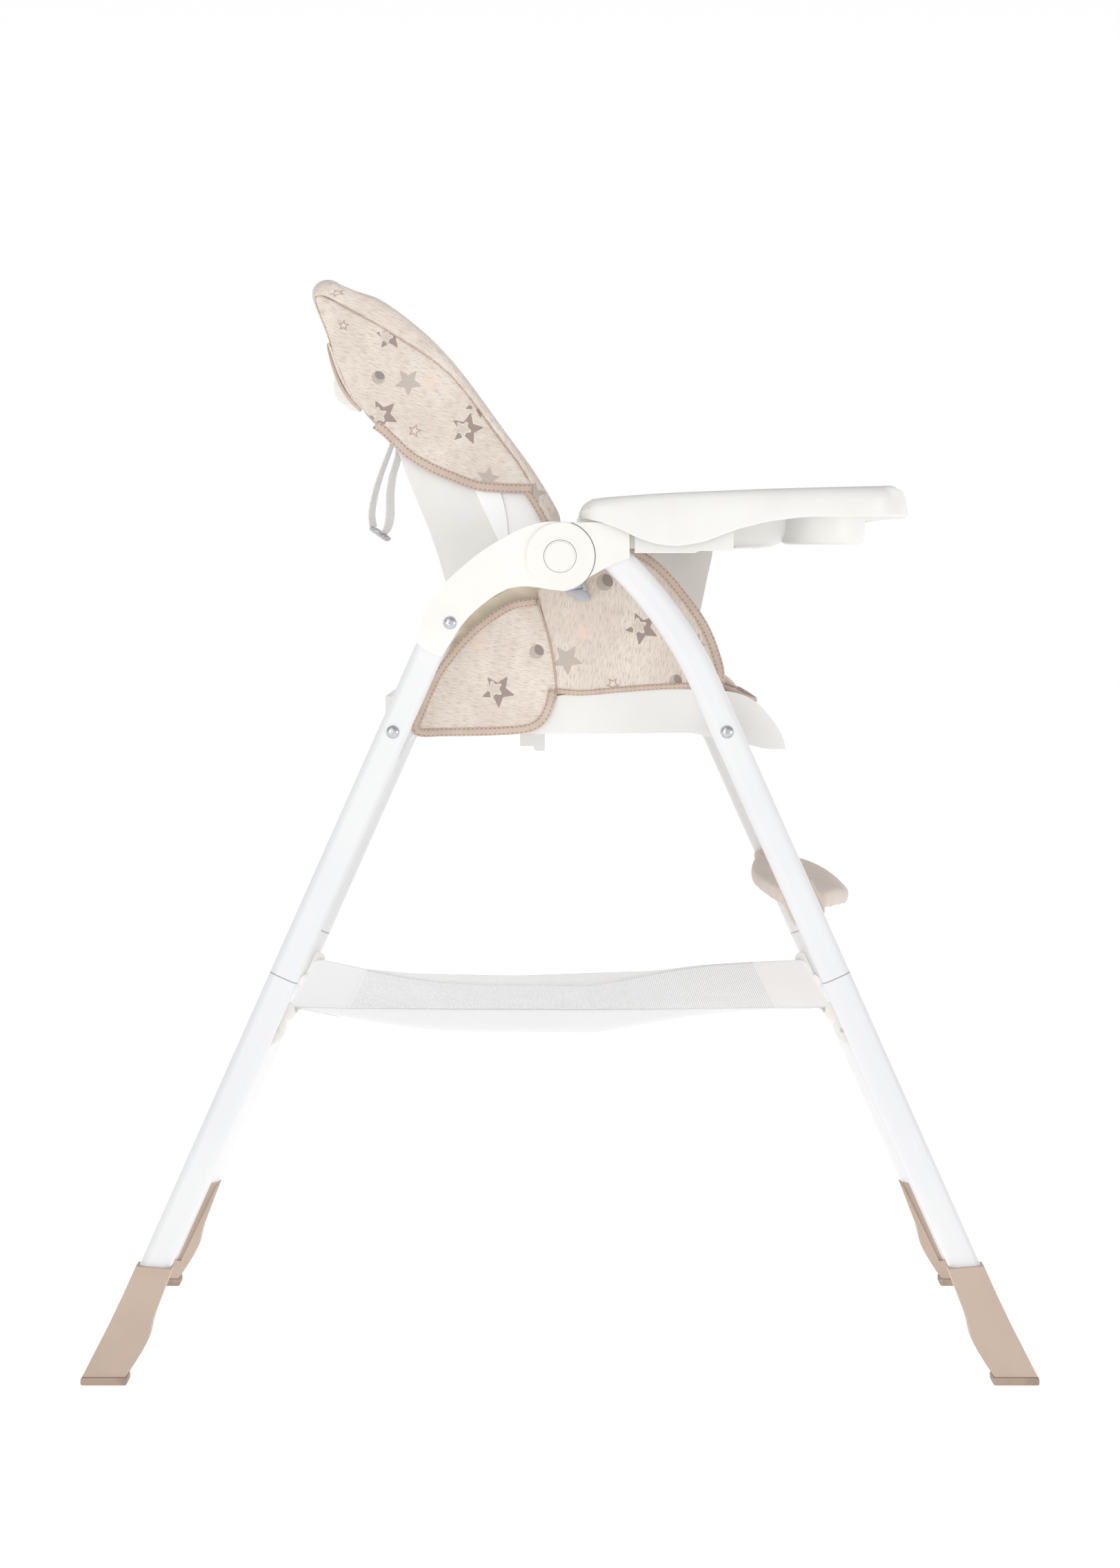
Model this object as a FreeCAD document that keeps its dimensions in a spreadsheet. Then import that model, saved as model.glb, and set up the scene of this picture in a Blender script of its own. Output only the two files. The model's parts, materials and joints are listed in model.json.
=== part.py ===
import FreeCAD, Part
import math
import os

# A folding baby high chair.  Millimetres.  X runs forward towards the tray, Y to the
# child's left, Z up from the floor.  The origin is on the floor under the hub axis.
# "end" is +1 for the front frame and -1 for the rear frame; "side" is +1 for the
# child's left (+Y) and -1 for the child's right (-Y).

V = FreeCAD.Vector
doc = FreeCAD.newDocument("high_chair")

# ---------------------------------------------------------------- size sheet
SIZES = [
    ("basket_rod_height", 342.5), ("hub_height", 773), ("hub_disc_radius", 32), ("pivot_x", 156), ("pivot_height", 609),
    ("leg_lean_deg", 24), ("leg_plane_y", 250), ("leg_wide", 28), ("leg_thick", 22),
    ("leg_corner", 9), ("leg_wall", 1.5), ("knuckle_height", 379), ("bend_height", 650),
    ("bend_radius", 380), ("bend_deg", 24), ("rear_leg_top", 728), ("plug_length", 60),
    ("arm_inner_y", 232), ("arm_outer_y", 268),
    ("cross_tube_radius", 8), ("cross_tube_drop", 15.5), ("bolt_radius", 4),
    ("axle_radius", 6), ("button_radius", 15), ("pan_half_width", 196),
    ("pan_wall", 3), ("side_plate_inner", 190), ("side_plate_outer", 194),
    ("recline_x", -65), ("recline_height", 655), ("back_lean_deg", 25), ("pin_radius", 4),
    ("tray_half_width", 276), ("tray_wall", 3.5), ("cup_radius", 37.5), ("cup_x", 254),
    ("cup_y", -130), ("fabric_thick", 3), ("running_gap", 0.05), ("screw_radius", 3.2),
]
sheet = doc.addObject("Spreadsheet::Sheet", "Sizes")
for row, (alias, value) in enumerate(SIZES, start=1):
    sheet.set("A%d" % row, alias)
    sheet.set("B%d" % row, str(value))
    sheet.setAlias("B%d" % row, alias)
doc.recompute()
S = dict(SIZES)

LEAN = math.radians(S["leg_lean_deg"])
HUB = (0, S["hub_height"])
KNUCKLE_X = S["pivot_x"] + (S["pivot_height"] - S["knuckle_height"]) * math.tan(LEAN)
NODES = {}


def along_leg(height):
    """Distance up the leg axis from the knuckle to a height above the floor."""
    return (height - S["knuckle_height"]) / math.cos(LEAN)


# ---------------------------------------------------------------- drawing helpers
def runs(*parts):
    """Closed outline from runs of points: two points a line, three an arc, more a spline."""
    geometry, last, first = [], None, parts[0][0]
    for points in parts:
        pts = [V(x, z, 0) for x, z in points]
        if last is not None and last.distanceToPoint(pts[0]) > 1e-6:
            geometry.append(Part.LineSegment(last, pts[0]))
        if len(pts) == 2:
            geometry.append(Part.LineSegment(pts[0], pts[1]))
        elif len(pts) == 3:
            geometry.append(Part.Arc(*pts))
        elif len(pts) > 3:
            curve = Part.BSplineCurve()
            curve.interpolate(pts)
            geometry.append(curve)
        last = pts[-1]
    start = V(first[0], first[1], 0)
    if last.distanceToPoint(start) > 1e-6:
        geometry.append(Part.LineSegment(last, start))
    return geometry


def poly(*points):
    """Closed outline of straight lines."""
    return runs(*[(a, b) for a, b in zip(points, points[1:])])


def circle(x, z, radius):
    return [Part.Circle(V(x, z, 0), V(0, 0, 1), radius)]


def rounded(x0, z0, x1, z1, r):
    """Rectangle with rounded corners."""
    k = r * (1 - math.sqrt(0.5))
    return runs([(x0 + r, z0), (x1 - r, z0)], [(x1 - r, z0), (x1 - k, z0 + k), (x1, z0 + r)],
                [(x1, z0 + r), (x1, z1 - r)], [(x1, z1 - r), (x1 - k, z1 - k), (x1 - r, z1)],
                [(x1 - r, z1), (x0 + r, z1)], [(x0 + r, z1), (x0 + k, z1 - k), (x0, z1 - r)],
                [(x0, z1 - r), (x0, z0 + r)], [(x0, z0 + r), (x0 + k, z0 + k), (x0 + r, z0)])


def flip(geometry, end):
    """The same outline on the other side of the hub when end is -1."""
    return geometry if end > 0 else [mirrored(g) for g in geometry]


def mirrored(g):
    """Outline curve mirrored about X = 0."""
    if isinstance(g, Part.LineSegment):
        return Part.LineSegment(V(-g.StartPoint.x, g.StartPoint.y, 0), V(-g.EndPoint.x, g.EndPoint.y, 0))
    if isinstance(g, Part.Circle):
        return Part.Circle(V(-g.Center.x, g.Center.y, 0), V(0, 0, 1), g.Radius)
    if isinstance(g, Part.Arc) or isinstance(g, Part.ArcOfCircle):
        mid = g.value((g.FirstParameter + g.LastParameter) / 2)
        return Part.Arc(V(-g.StartPoint.x, g.StartPoint.y, 0), V(-mid.x, mid.y, 0),
                        V(-g.EndPoint.x, g.EndPoint.y, 0))
    curve = g.copy()
    for i, pole in enumerate(g.getPoles(), start=1):
        curve.setPole(i, V(-pole.x, pole.y, 0))
    return curve


def new_body(name, place=None):
    body = doc.addObject("PartDesign::Body", name)
    body.Label = name
    if place is not None:
        body.Placement = place
    return body


def sketch_on(body, role, offset, outlines):
    """Sketch on one of the body's own planes, moved along that plane's normal."""
    sketch = body.newObject("Sketcher::SketchObject", body.Name + "_sketch")
    plane = [f for f in body.Origin.OriginFeatures if f.Role == role][0]
    sketch.AttachmentSupport = [(plane, "")]
    sketch.MapMode = "FlatFace"
    sketch.AttachmentOffset = FreeCAD.Placement(V(0, 0, offset), FreeCAD.Rotation())
    for outline in outlines:
        sketch.addGeometry(outline, False)
    return sketch


def slab(body, y0, y1, *outlines, **options):
    """Side outline in X and Z, made solid (or cut away) from Y = y0 to Y = y1."""
    cut = options.get("cut", False)
    sketch = sketch_on(body, "XZ_Plane", -y0, outlines)
    step = body.newObject("PartDesign::Pocket" if cut else "PartDesign::Pad", body.Name + "_step")
    step.Profile = sketch
    step.Length = y1 - y0
    step.Reversed = not cut
    if options.get("length"):
        step.setExpression("Length", options["length"])
    sketch.Visibility = False
    return step


def layer(body, z0, z1, *outlines, **options):
    """Plan outline in X and Y, made solid (or cut away) from Z = z0 to Z = z1."""
    cut = options.get("cut", False)
    sketch = sketch_on(body, "XY_Plane", z1 if cut else z0, outlines)
    step = body.newObject("PartDesign::Pocket" if cut else "PartDesign::Pad", body.Name + "_step")
    step.Profile = sketch
    step.Length = z1 - z0
    if options.get("length"):
        step.setExpression("Length", options["length"])
    sketch.Visibility = False
    return step


def band(side, near, far):
    """Y limits of a layer that lies between two distances from the middle."""
    return (near, far) if side > 0 else (-far, -near)


def boolean(kind, name, base, tools):
    """Part::Cut, Part::Common or Part::MultiFuse of finished objects."""
    if kind == "Part::MultiFuse":
        result = doc.addObject(kind, name)
        result.Shapes = [base] + tools
    else:
        if len(tools) > 1:
            tools = [boolean("Part::MultiFuse", name + "_tools", tools[0], tools[1:])]
        result = doc.addObject(kind, name)
        result.Base = base
        result.Tool = tools[0]
    result.Label = name
    return result


def rod(name, radius, x, z, y0, y1, expression=None):
    """Round bar along Y."""
    bar = doc.addObject("Part::Cylinder", name)
    bar.Radius = radius
    bar.Height = y1 - y0
    if expression:
        bar.setExpression("Radius", expression)
    bar.Placement = FreeCAD.Placement(V(x, y0, z), FreeCAD.Rotation(V(1, 0, 0), -90))
    return bar


def keep(name, obj):
    """Record a finished sub-part under its node name."""
    obj.Label = name
    NODES[name] = obj


def side_name(side):
    return "left" if side > 0 else "right"


def end_name(end):
    return "front" if end > 0 else "rear"


# ---------------------------------------------------------------- legs and feet
def leg_place(end, side):
    """Frame with its Z along a leg and its origin at the knuckle."""
    return FreeCAD.Placement(V(end * KNUCKLE_X, side * S["leg_plane_y"], S["knuckle_height"]),
                             FreeCAD.Rotation(V(0, 1, 0), -end * S["leg_lean_deg"]))


def on_leg(end, x, z):
    """Distances across and along a leg of a point given in X and Z."""
    dx, dz = x - end * KNUCKLE_X, z - S["knuckle_height"]
    c, t = math.cos(LEAN), math.sin(LEAN) * end
    return dx * c + dz * t, dz * c - dx * t


def tube_outline(extra):
    """Oval tube outline, larger than the leg tube by "extra" all round."""
    wide, thick = S["leg_wide"] / 2 + extra, S["leg_thick"] / 2 + extra
    return rounded(-wide, -thick, wide, thick, max(S["leg_corner"] + extra, 1))


def bend(body, start, outlines, end):
    """Curved top of a front leg, swept about an axis behind it."""
    sketch = sketch_on(body, "XY_Plane", start, outlines)
    centre = -S["bend_radius"] * end
    sketch.addGeometry(Part.LineSegment(V(centre, -10, 0), V(centre, 10, 0)), True)
    step = body.newObject("PartDesign::Revolution", body.Name + "_bend")
    step.Profile = sketch
    step.ReferenceAxis = (sketch, ["Axis0"])
    step.Angle = S["bend_deg"]
    step.setExpression("Angle", "Sizes.bend_deg")
    step.Reversed = True
    return step


def leg_solid(name, end, side, extra, low, high):
    """Solid in the shape of a leg, used to cut the sockets it goes into."""
    body = new_body(name, leg_place(end, side))
    layer(body, low, high, tube_outline(extra))
    if end > 0 and high >= along_leg(S["bend_height"]) - 0.01:
        bend(body, along_leg(S["bend_height"]), [tube_outline(extra)], end)
    return body


def upper_leg(end, side):
    name = "%s_leg_upper_%s" % (end_name(end), side_name(side))
    body = new_body(name, leg_place(end, side))
    ring = [tube_outline(0), tube_outline(-S["leg_wall"])]
    top = along_leg(S["bend_height"] if end > 0 else S["rear_leg_top"])
    layer(body, 0.1, top, *ring)
    if end > 0:
        bend(body, top, ring, end)
    slab(body, -20, 20, circle(0, along_leg(S["pivot_height"]), S["bolt_radius"] + 0.1), cut=True)
    if end < 0:
        across, along = on_leg(-1, -102.4, 711)
        slab(body, -20, 20, circle(across, along, S["bolt_radius"] + 0.1), cut=True)
    y0, y1 = (-14, 0) if side > 0 else (0, 14)
    slab(body, y0, y1, circle(0, 27.4, 3.56), cut=True)
    keep(name, body)


def lower_leg(end, side):
    name = "%s_leg_lower_%s" % (end_name(end), side_name(side))
    body = new_body(name, leg_place(end, side))
    layer(body, along_leg(22), 0, tube_outline(0), tube_outline(-1.7))
    layer(body, -20, S["plug_length"], tube_outline(-1.6), tube_outline(-3.1), length="Sizes.plug_length + 20")
    y0, y1 = (-14, 0) if side > 0 else (0, 14)
    slab(body, y0, y1, circle(0, 27.4, 3.56), cut=True)
    keep(name, body)


def lock_button(end, side):
    """Sprung snap button that pins the lower leg to the upper one."""
    name = "%s_lock_button_%s" % (end_name(end), side_name(side))
    body = new_body(name, leg_place(end, side))
    slab(body, *band(-side, 4.0, 12.6), circle(0, 27.4, 3.5))
    slab(body, *band(-side, 3.0, 7.0), circle(0, 27.4, 4.6))
    keep(name, body)


def foot(end, side):
    """Moulded foot that wraps the leg; the leg's inner face stays open to view."""
    name = "%s_foot_%s" % (end_name(end), side_name(side))
    shape = new_body(name + "_shape")
    outline = runs([(395.6, 110.8), (362.2, 108.0)],
                   [(362.2, 108.0), (367.6, 93), (373.4, 78), (378.4, 65), (381.6, 54), (384.4, 42), (391, 29),
                    (400, 15), (405.5, 7.2)],
                   [(405.5, 7.2), (446, 7.2)], [(446, 7.2), (434, 30), (395.6, 110.8)])
    slab(shape, *band(side, 235.5, 264.5), flip(outline, end))
    window = poly((356, 114), (396, 114), (431.5, 30), (403.0, 26), (364.6, 106), (356, 106), (356, 114))
    slab(shape, *band(side, 234, 239.2), flip(window, end), cut=True)
    socket = leg_solid(name + "_socket", end, side, 0.1, along_leg(21), along_leg(200))
    keep(name, boolean("Part::Cut", name, shape, [socket]))


def soles(end):
    """Rubber treads under the two feet of one frame."""
    name = end_name(end) + "_soles"
    treads = []
    for side in (1, -1):
        tread = new_body("%s_%s" % (name, side_name(side)))
        slab(tread, *band(side, 234.5, 265.5), flip(rounded(404.0, 0, 447.0, 6.9, 1.5), end))
        treads.append(tread)
    keep(name, boolean("Part::MultiFuse", name, treads[0], treads[1:]))


def rivet(name, end, side, x, z, depth, grip):
    """Domed rivet through a leg from its outer face; both solids are one fastener."""
    start = S["leg_plane_y"] + grip
    body = new_body(name)
    slab(body, *band(side, start - depth, start + 0.6), circle(end * x, z, S["bolt_radius"]),)
    slab(body, *band(side, start + 0.1, start + 1.6), circle(end * x, z, 6.2))
    slab(body, *band(side, start + 1.5, start + 2.6), circle(end * x, z, 5.2))
    slab(body, *band(side, start + 2.5, start + 3.3), circle(end * x, z, 3.4))
    return body


for side in (1, -1):
    for end in (1, -1):
        upper_leg(end, side)
        lower_leg(end, side)
        lock_button(end, side)
        foot(end, side)
soles(1)
soles(-1)


# ---------------------------------------------------------------- arms and hub
def rear_arm(side):
    """Curved housing over the top of a rear leg, ending in the outer hub disc."""
    name = "rear_arm_" + side_name(side)
    x, z = HUB
    r = S["hub_disc_radius"]
    shape = new_body(name + "_shape")
    outline = runs([(-134, 693.7), (-126, 718.2), (-111.2, 743.9), (-93.8, 760.9), (-72.6, 777.9),
                    (-51.4, 790.8), (-30.2, 801.0), (x, z + r)],
                   [(x, z + r), (x + r, z), (x, z - r)],
                   [(x, z - r), (-17, 743.2), (-34.2, 744.9), (-51.4, 741.4), (-68.4, 731), (-87.4, 714),
                    (-100.2, 695.9), (-109.9, 679.9)],
                   [(-109.9, 679.9), (-124, 684.5), (-134, 693.7)])
    slab(shape, *band(side, S["arm_inner_y"], S["arm_outer_y"]), outline)
    slab(shape, *band(side, S["arm_outer_y"] - 2, 270), circle(x, z, r - 0.8))
    slab(shape, *band(side, 231, 250.4), circle(x, z, r + 1.2), cut=True)
    slab(shape, *band(side, 259.4, 271), circle(x, z, S["button_radius"] + 0.35), cut=True)
    slab(shape, *band(side, 249, 262), circle(x, z, S["axle_radius"] + S["running_gap"]), cut=True)
    hollow = runs([(-127, 702), (-121.5, 717), (-107.5, 741), (-91, 757.5), (-70, 774.5), (-50, 787), (-38, 794)],
                  [(-38, 794), (-38, 749)],
                  [(-38, 749), (-53, 744.5), (-70, 734), (-89.5, 717), (-101, 700.5)])
    slab(shape, *band(side, 234.8, 265.2), hollow, cut=True)
    socket = leg_solid(name + "_socket", -1, side, 0.1, along_leg(640), along_leg(S["rear_leg_top"]) + 0.4)
    hole = rod(name + "_hole", S["bolt_radius"] + 0.1, -102.4, 711, side * 250 - 30, side * 250 + 30)
    keep(name, boolean("Part::Cut", name, shape, [socket, hole]))


def front_arm(side):
    """Housing over the top of a front leg, with the inner hub drum and the tray tongue."""
    name = "front_arm_" + side_name(side)
    x, z = HUB
    r = S["hub_disc_radius"]
    shape = new_body(name + "_shape")
    slab(shape, *band(side, S["arm_inner_y"], 250), circle(x, z, r))
    outline = runs([(5, 742), (23.4, 751.2), (34.1, 757.4), (50.8, 766.0), (60, 769.5), (65, 771)],
                   [(65, 771), (65, 803)], [(65, 803), (45, 804.6), (25, 804.9), (5, 804.5)])
    slab(shape, *band(side, S["arm_inner_y"], S["arm_outer_y"]), outline)
    slab(shape, *band(side, 240, 260), rounded(50, 780, 150, 796, 2))
    slab(shape, *band(side, 250.0, 272), circle(x, z, r + 1.2), cut=True)
    slab(shape, *band(side, 230, 251), circle(x, z, S["axle_radius"] + S["running_gap"]), cut=True)
    hollow = poly((38, 764), (60, 773.5), (60, 799), (38, 801), (38, 764))
    slab(shape, *band(side, 235, 265), hollow, cut=True)
    socket = leg_solid(name + "_socket", 1, side, 0.1, along_leg(600), along_leg(S["bend_height"]))
    keep(name, boolean("Part::Cut", name, shape, [socket]))
    button = new_body("fold_button_" + side_name(side))
    slab(button, *band(side, 264.8, 270.6), circle(x, z, S["button_radius"]))
    slab(button, *band(side, 270.5, 271.4), circle(x, z, S["button_radius"] - 1.5))
    keep(button.Name, button)


def hub_axles():
    """Headed pins the rear arms turn on."""
    pins = []
    for side in (1, -1):
        pin = new_body("hub_axle_" + side_name(side))
        slab(pin, *band(side, 229.5, 231.8), circle(HUB[0], HUB[1], 11))
        slab(pin, *band(side, 231, 258.8), circle(HUB[0], HUB[1], S["axle_radius"]))
        pins.append(pin)
    keep("hub_axles", boolean("Part::MultiFuse", "hub_axles", pins[0], pins[1:]))


for side in (1, -1):
    rear_arm(side)
    front_arm(side)
hub_axles()


# ---------------------------------------------------------------- cross tubes and rivets
def cross_tubes():
    radius, wall = S["cross_tube_radius"], S["leg_wall"]
    front = new_body("front_cross_tube")
    px, pz = S["pivot_x"], S["pivot_height"]
    slab(front, -238.8, 238.8, circle(px, pz, radius), circle(px, pz, radius - wall - 0.5))
    for side in (1, -1):
        slab(front, *band(side, 228, 238.8), circle(px, pz, radius - 1))
        slab(front, *band(side, 225, 240), circle(px, pz, S["bolt_radius"] + 0.1), cut=True)
    keep("front_cross_tube", front)
    rear = new_body("rear_cross_tube")
    low = pz - S["cross_tube_drop"]
    slab(rear, -236.5, 236.5, circle(-px, low, radius), circle(-px, low, radius - wall))
    plate = runs([(-171, 603), (-169, 588), (-158, 583), (-146, 586)], [(-146, 586), (-140.5, 601)],
                 [(-140.5, 601), (-141, 613), (-148, 621), (-160, 621.5)], [(-160, 621.5), (-171, 603)])
    for side in (1, -1):
        slab(rear, *band(side, 236, 238.8), plate)
        slab(rear, *band(side, 235, 240), circle(-px, pz, S["bolt_radius"] + 0.1), cut=True)
    keep("rear_cross_tube", rear)


cross_tubes()
front_rivets = [rivet("front_rivet_%d" % s, 1, s, S["pivot_x"], S["pivot_height"], 30, 11) for s in (1, -1)]
keep("front_rivets", boolean("Part::MultiFuse", "front_rivets", front_rivets[0], front_rivets[1:]))
rear_rivets = [rivet("rear_rivet_%d" % s, -1, s, S["pivot_x"], S["pivot_height"], 25.5, 11) for s in (1, -1)]
rear_rivets += [rivet("arm_rivet_%d" % s, -1, s, 102.4, 711, 35, 18) for s in (1, -1)]
keep("rear_rivets", boolean("Part::MultiFuse", "rear_rivets", rear_rivets[0], rear_rivets[1:]))


# ---------------------------------------------------------------- seat
def seat_pan():
    """Moulded seat base: open underneath, front lip rolled down, bosses on the front tube."""
    pan = new_body("seat_pan")
    wide, wall = S["pan_half_width"], S["pan_wall"]
    top = [(-166, 640.3), (-60, 640.3), (-4.6, 640.7), (57.7, 645.9), (121.9, 647.2), (157.3, 645.3),
           (172.7, 642), (187.7, 633.8), (197.8, 623.1), (206.5, 611.8), (214.5, 590.2)]
    outline = runs([(-166, 603.2), top[0]], top[:2], top[2:],
                   [(214.5, 590.2), (201.6, 589.8), (188.8, 591.5), (181.4, 593.6)],
                   [(181.4, 593.6), (137, 602.6)], [(137, 602.6), (125, 605.3)], [(125, 605.3), (44.6, 605.3)],
                   [(44.6, 605.3), (-166, 603.2)])
    slab(pan, -wide, wide, outline)
    under = runs([(-162.5, 590), (-162.5, 637)], [(-162.5, 637), (-60, 637)],
                 [(-60, 637), (-4.4, 637.4), (57.9, 642.4), (122, 643.7), (156.6, 641.8), (170.6, 638.6)],
                 [(170.6, 638.6), (184.5, 631), (194.8, 620.8), (203, 610), (211, 588)],
                 [(211, 588), (196, 580)], [(196, 580), (-150, 580)])
    slab(pan, -(wide - wall), wide - wall, under, cut=True)
    px, pz = S["pivot_x"], S["pivot_height"]
    for side in (1, -1):
        slab(pan, *band(side, 178, wide - 1), runs([(px - 12, 640), (px - 12, pz)],
             [(px - 12, pz), (px, pz - 12), (px + 12, pz)], [(px + 12, pz), (px + 12, 638)]))
        slab(pan, *band(side, 89, 92), poly((-164, 606), (138, 612), (138, 641), (-164, 638), (-164, 606)))
        ear = runs([(-76, 638), (-74, 655)], [(-74, 655), (-65, 664), (-56, 655)], [(-56, 655), (-54, 638)])
        slab(pan, *band(side, 158, 164), ear)
        slab(pan, *band(side, 157, 165), circle(S["recline_x"], S["recline_height"],
             S["pin_radius"] + S["running_gap"]), cut=True)
    slab(pan, -104, -91, poly((-24.2, 638), (-24.2, 600), (-39, 600), (-39, 588.5), (-25.6, 588.5), (-24.2, 584),
                              (-14.8, 584), (-14.8, 638), (-24.2, 638)))
    slab(pan, -wide - 1, wide + 1, circle(px, pz, S["cross_tube_radius"] + S["running_gap"]), cut=True)
    keep("seat_pan", pan)
    pins = []
    for side in (1, -1):
        pin = new_body("recline_pin_" + side_name(side))
        slab(pin, *band(side, 147, 165.5), circle(S["recline_x"], S["recline_height"], S["pin_radius"]))
        slab(pin, *band(side, 165, 167), circle(S["recline_x"], S["recline_height"], 6.5))
        pins.append(pin)
    keep("recline_pins", boolean("Part::MultiFuse", "recline_pins", pins[0], pins[1:]))


SIDE_FRONT = [(80.8, 773.9), (98.8, 757.1), (114.5, 739), (129.9, 718.3), (140.3, 700.2), (148, 679.5), (152, 664)]
FLAP_TOP = [(-138, 618), (-126, 646), (-113.1, 669.2), (-87.2, 700.3), (-61.4, 720.9), (-43.3, 729.9), (-22.6, 732.5)]


def seat_sides():
    """Upright plastic cheeks bolted to the pan, and the fabric side covers over them."""
    for side in (1, -1):
        cheek = new_body("seat_side_" + side_name(side))
        shrunk = [(x - 5, z - 3) for x, z in SIDE_FRONT]
        rear = [(-124, 652), (-112, 668), (-86, 698), (-60, 718), (-42, 727), (-20, 729.5)]
        outline = runs(shrunk, [shrunk[-1], (147, 647.6)], [(147, 647.6), (122, 647.8)],
                       [(122, 647.8), (57.7, 646.6)], [(57.7, 646.6), (-6, 641.2)], [(-6, 641.2), (-128, 641.2)],
                       [(-128, 641.2), rear[0]], rear, [rear[-1], (15, 752)], [(15, 752), shrunk[0]])
        slab(cheek, *band(side, S["side_plate_inner"], S["side_plate_outer"]), outline)
        keep(cheek.Name, cheek)
        cover = new_body("side_cover_" + side_name(side))
        front = runs(SIDE_FRONT, [SIDE_FRONT[-1], (151, 652)], [(151, 652), (122, 650.5)],
                     [(122, 650.5), (-4.6, 642.5)], [(-4.6, 642.5), (-22, 640.9)], [(-22, 640.9), (-22, 732)],
                     [(-22, 732), (15, 755)], [(15, 755), SIDE_FRONT[0]])
        slab(cover, *band(side, 194.3, 194.3 + S["fabric_thick"]), front)
        flap = runs(FLAP_TOP, [FLAP_TOP[-1], (-10, 690)],
                    [(-10, 690), (-3.3, 643), (-7.2, 630.5), (-15, 615), (-30.4, 606.6), (-61.4, 604.8)],
                    [(-61.4, 604.8), (-137, 604.8)], [(-137, 604.8), (-141, 610), (-138, 618)])
        slab(cover, *band(side, 196.6, 199.8), flap)
        keep(cover.Name, cover)


def seat_cushion():
    cushion = new_body("seat_cushion")
    outline = runs([(-52, 641.6), (-52, 660)], [(-52, 660), (-30, 664.5), (20, 663), (90, 662.5), (154.7, 663.1)],
                   [(154.7, 663.1), (162, 659.8), (171.2, 652), (181.2, 643.2), (187.8, 635.6)],
                   [(187.8, 635.6), (186.0, 635.4)],
                   [(186.0, 635.4), (172.9, 642.8), (157.5, 646.2), (121.9, 648.1), (57.7, 646.8), (-4.6, 641.6)],
                   [(-4.6, 641.6), (-52, 641.6)])
    slab(cushion, -184, 184, outline)
    keep("seat_cushion", cushion)


seat_pan()
seat_sides()
seat_cushion()

# ---------------------------------------------------------------- backrest, in its own leaning frame
BACK = FreeCAD.Placement(V(S["recline_x"], 0, S["recline_height"]),
                         FreeCAD.Rotation(V(0, 1, 0), -S["back_lean_deg"]))
SHELL_REAR = [(-16, 20), (-8, 60), (-1, 100), (5, 140), (8, 190), (11.5, 238)]
WING = [(126.9, 109), (121.5, 152.5), (112.6, 203.2), (102, 260.3), (88.9, 311.7), (68.3, 357.3), (53.8, 381),
        (38.3, 397.6), (22, 409)]


def backrest_shell():
    """Moulded back with side flanges, a raised rib on each side and hinge tabs below."""
    shell = new_body("backrest_shell", BACK)
    inner = [(x + 3.6, z) for x, z in reversed(SHELL_REAR)]
    plate = runs(SHELL_REAR, [SHELL_REAR[-1], (8, 396)], [(8, 396), (11.6, 396)], [(11.6, 396), inner[0]], inner)
    slab(shell, -181.5, 181.5, plate)
    flange = runs(SHELL_REAR, [SHELL_REAR[-1], (8, 396)], [(8, 396), (22, 396)],
                  [(22, 396), (48, 367), (68, 327), (82, 280), (92, 230), (100, 180), (106, 130), (106, 100)],
                  [(106, 100), (60, 58)], [(60, 58), (20, 22)], [(20, 22), (-16, 20)])
    rib = runs([(65.5, 185), (65, 176), (60.5, 144), (48.6, 113), (34, 82), (22, 60)], [(22, 60), (40, 56)],
               [(40, 56), (54, 82), (70, 113), (80, 141), (84.5, 176), (84.5, 185)])
    for side in (1, -1):
        slab(shell, *band(side, 178, 181.5), flange)
        slab(shell, *band(side, 181, 184), rib)
        tab = runs([(-14, 26), (-9, 0)], [(-9, 0), (0, -9), (9, 0)], [(9, 0), (8, 30)], [(8, 30), (-10, 40)])
        slab(shell, *band(side, 149, 156.5), tab)
        slab(shell, *band(side, 148, 157.5), circle(0, 0, S["pin_radius"] + S["running_gap"]), cut=True)
        slab(shell, *band(side, 78.6, 84.5), poly((-4, 296), (11.5, 296), (10.5, 352), (-4, 352), (-4, 296)))
    keep("backrest_shell", shell)


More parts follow.
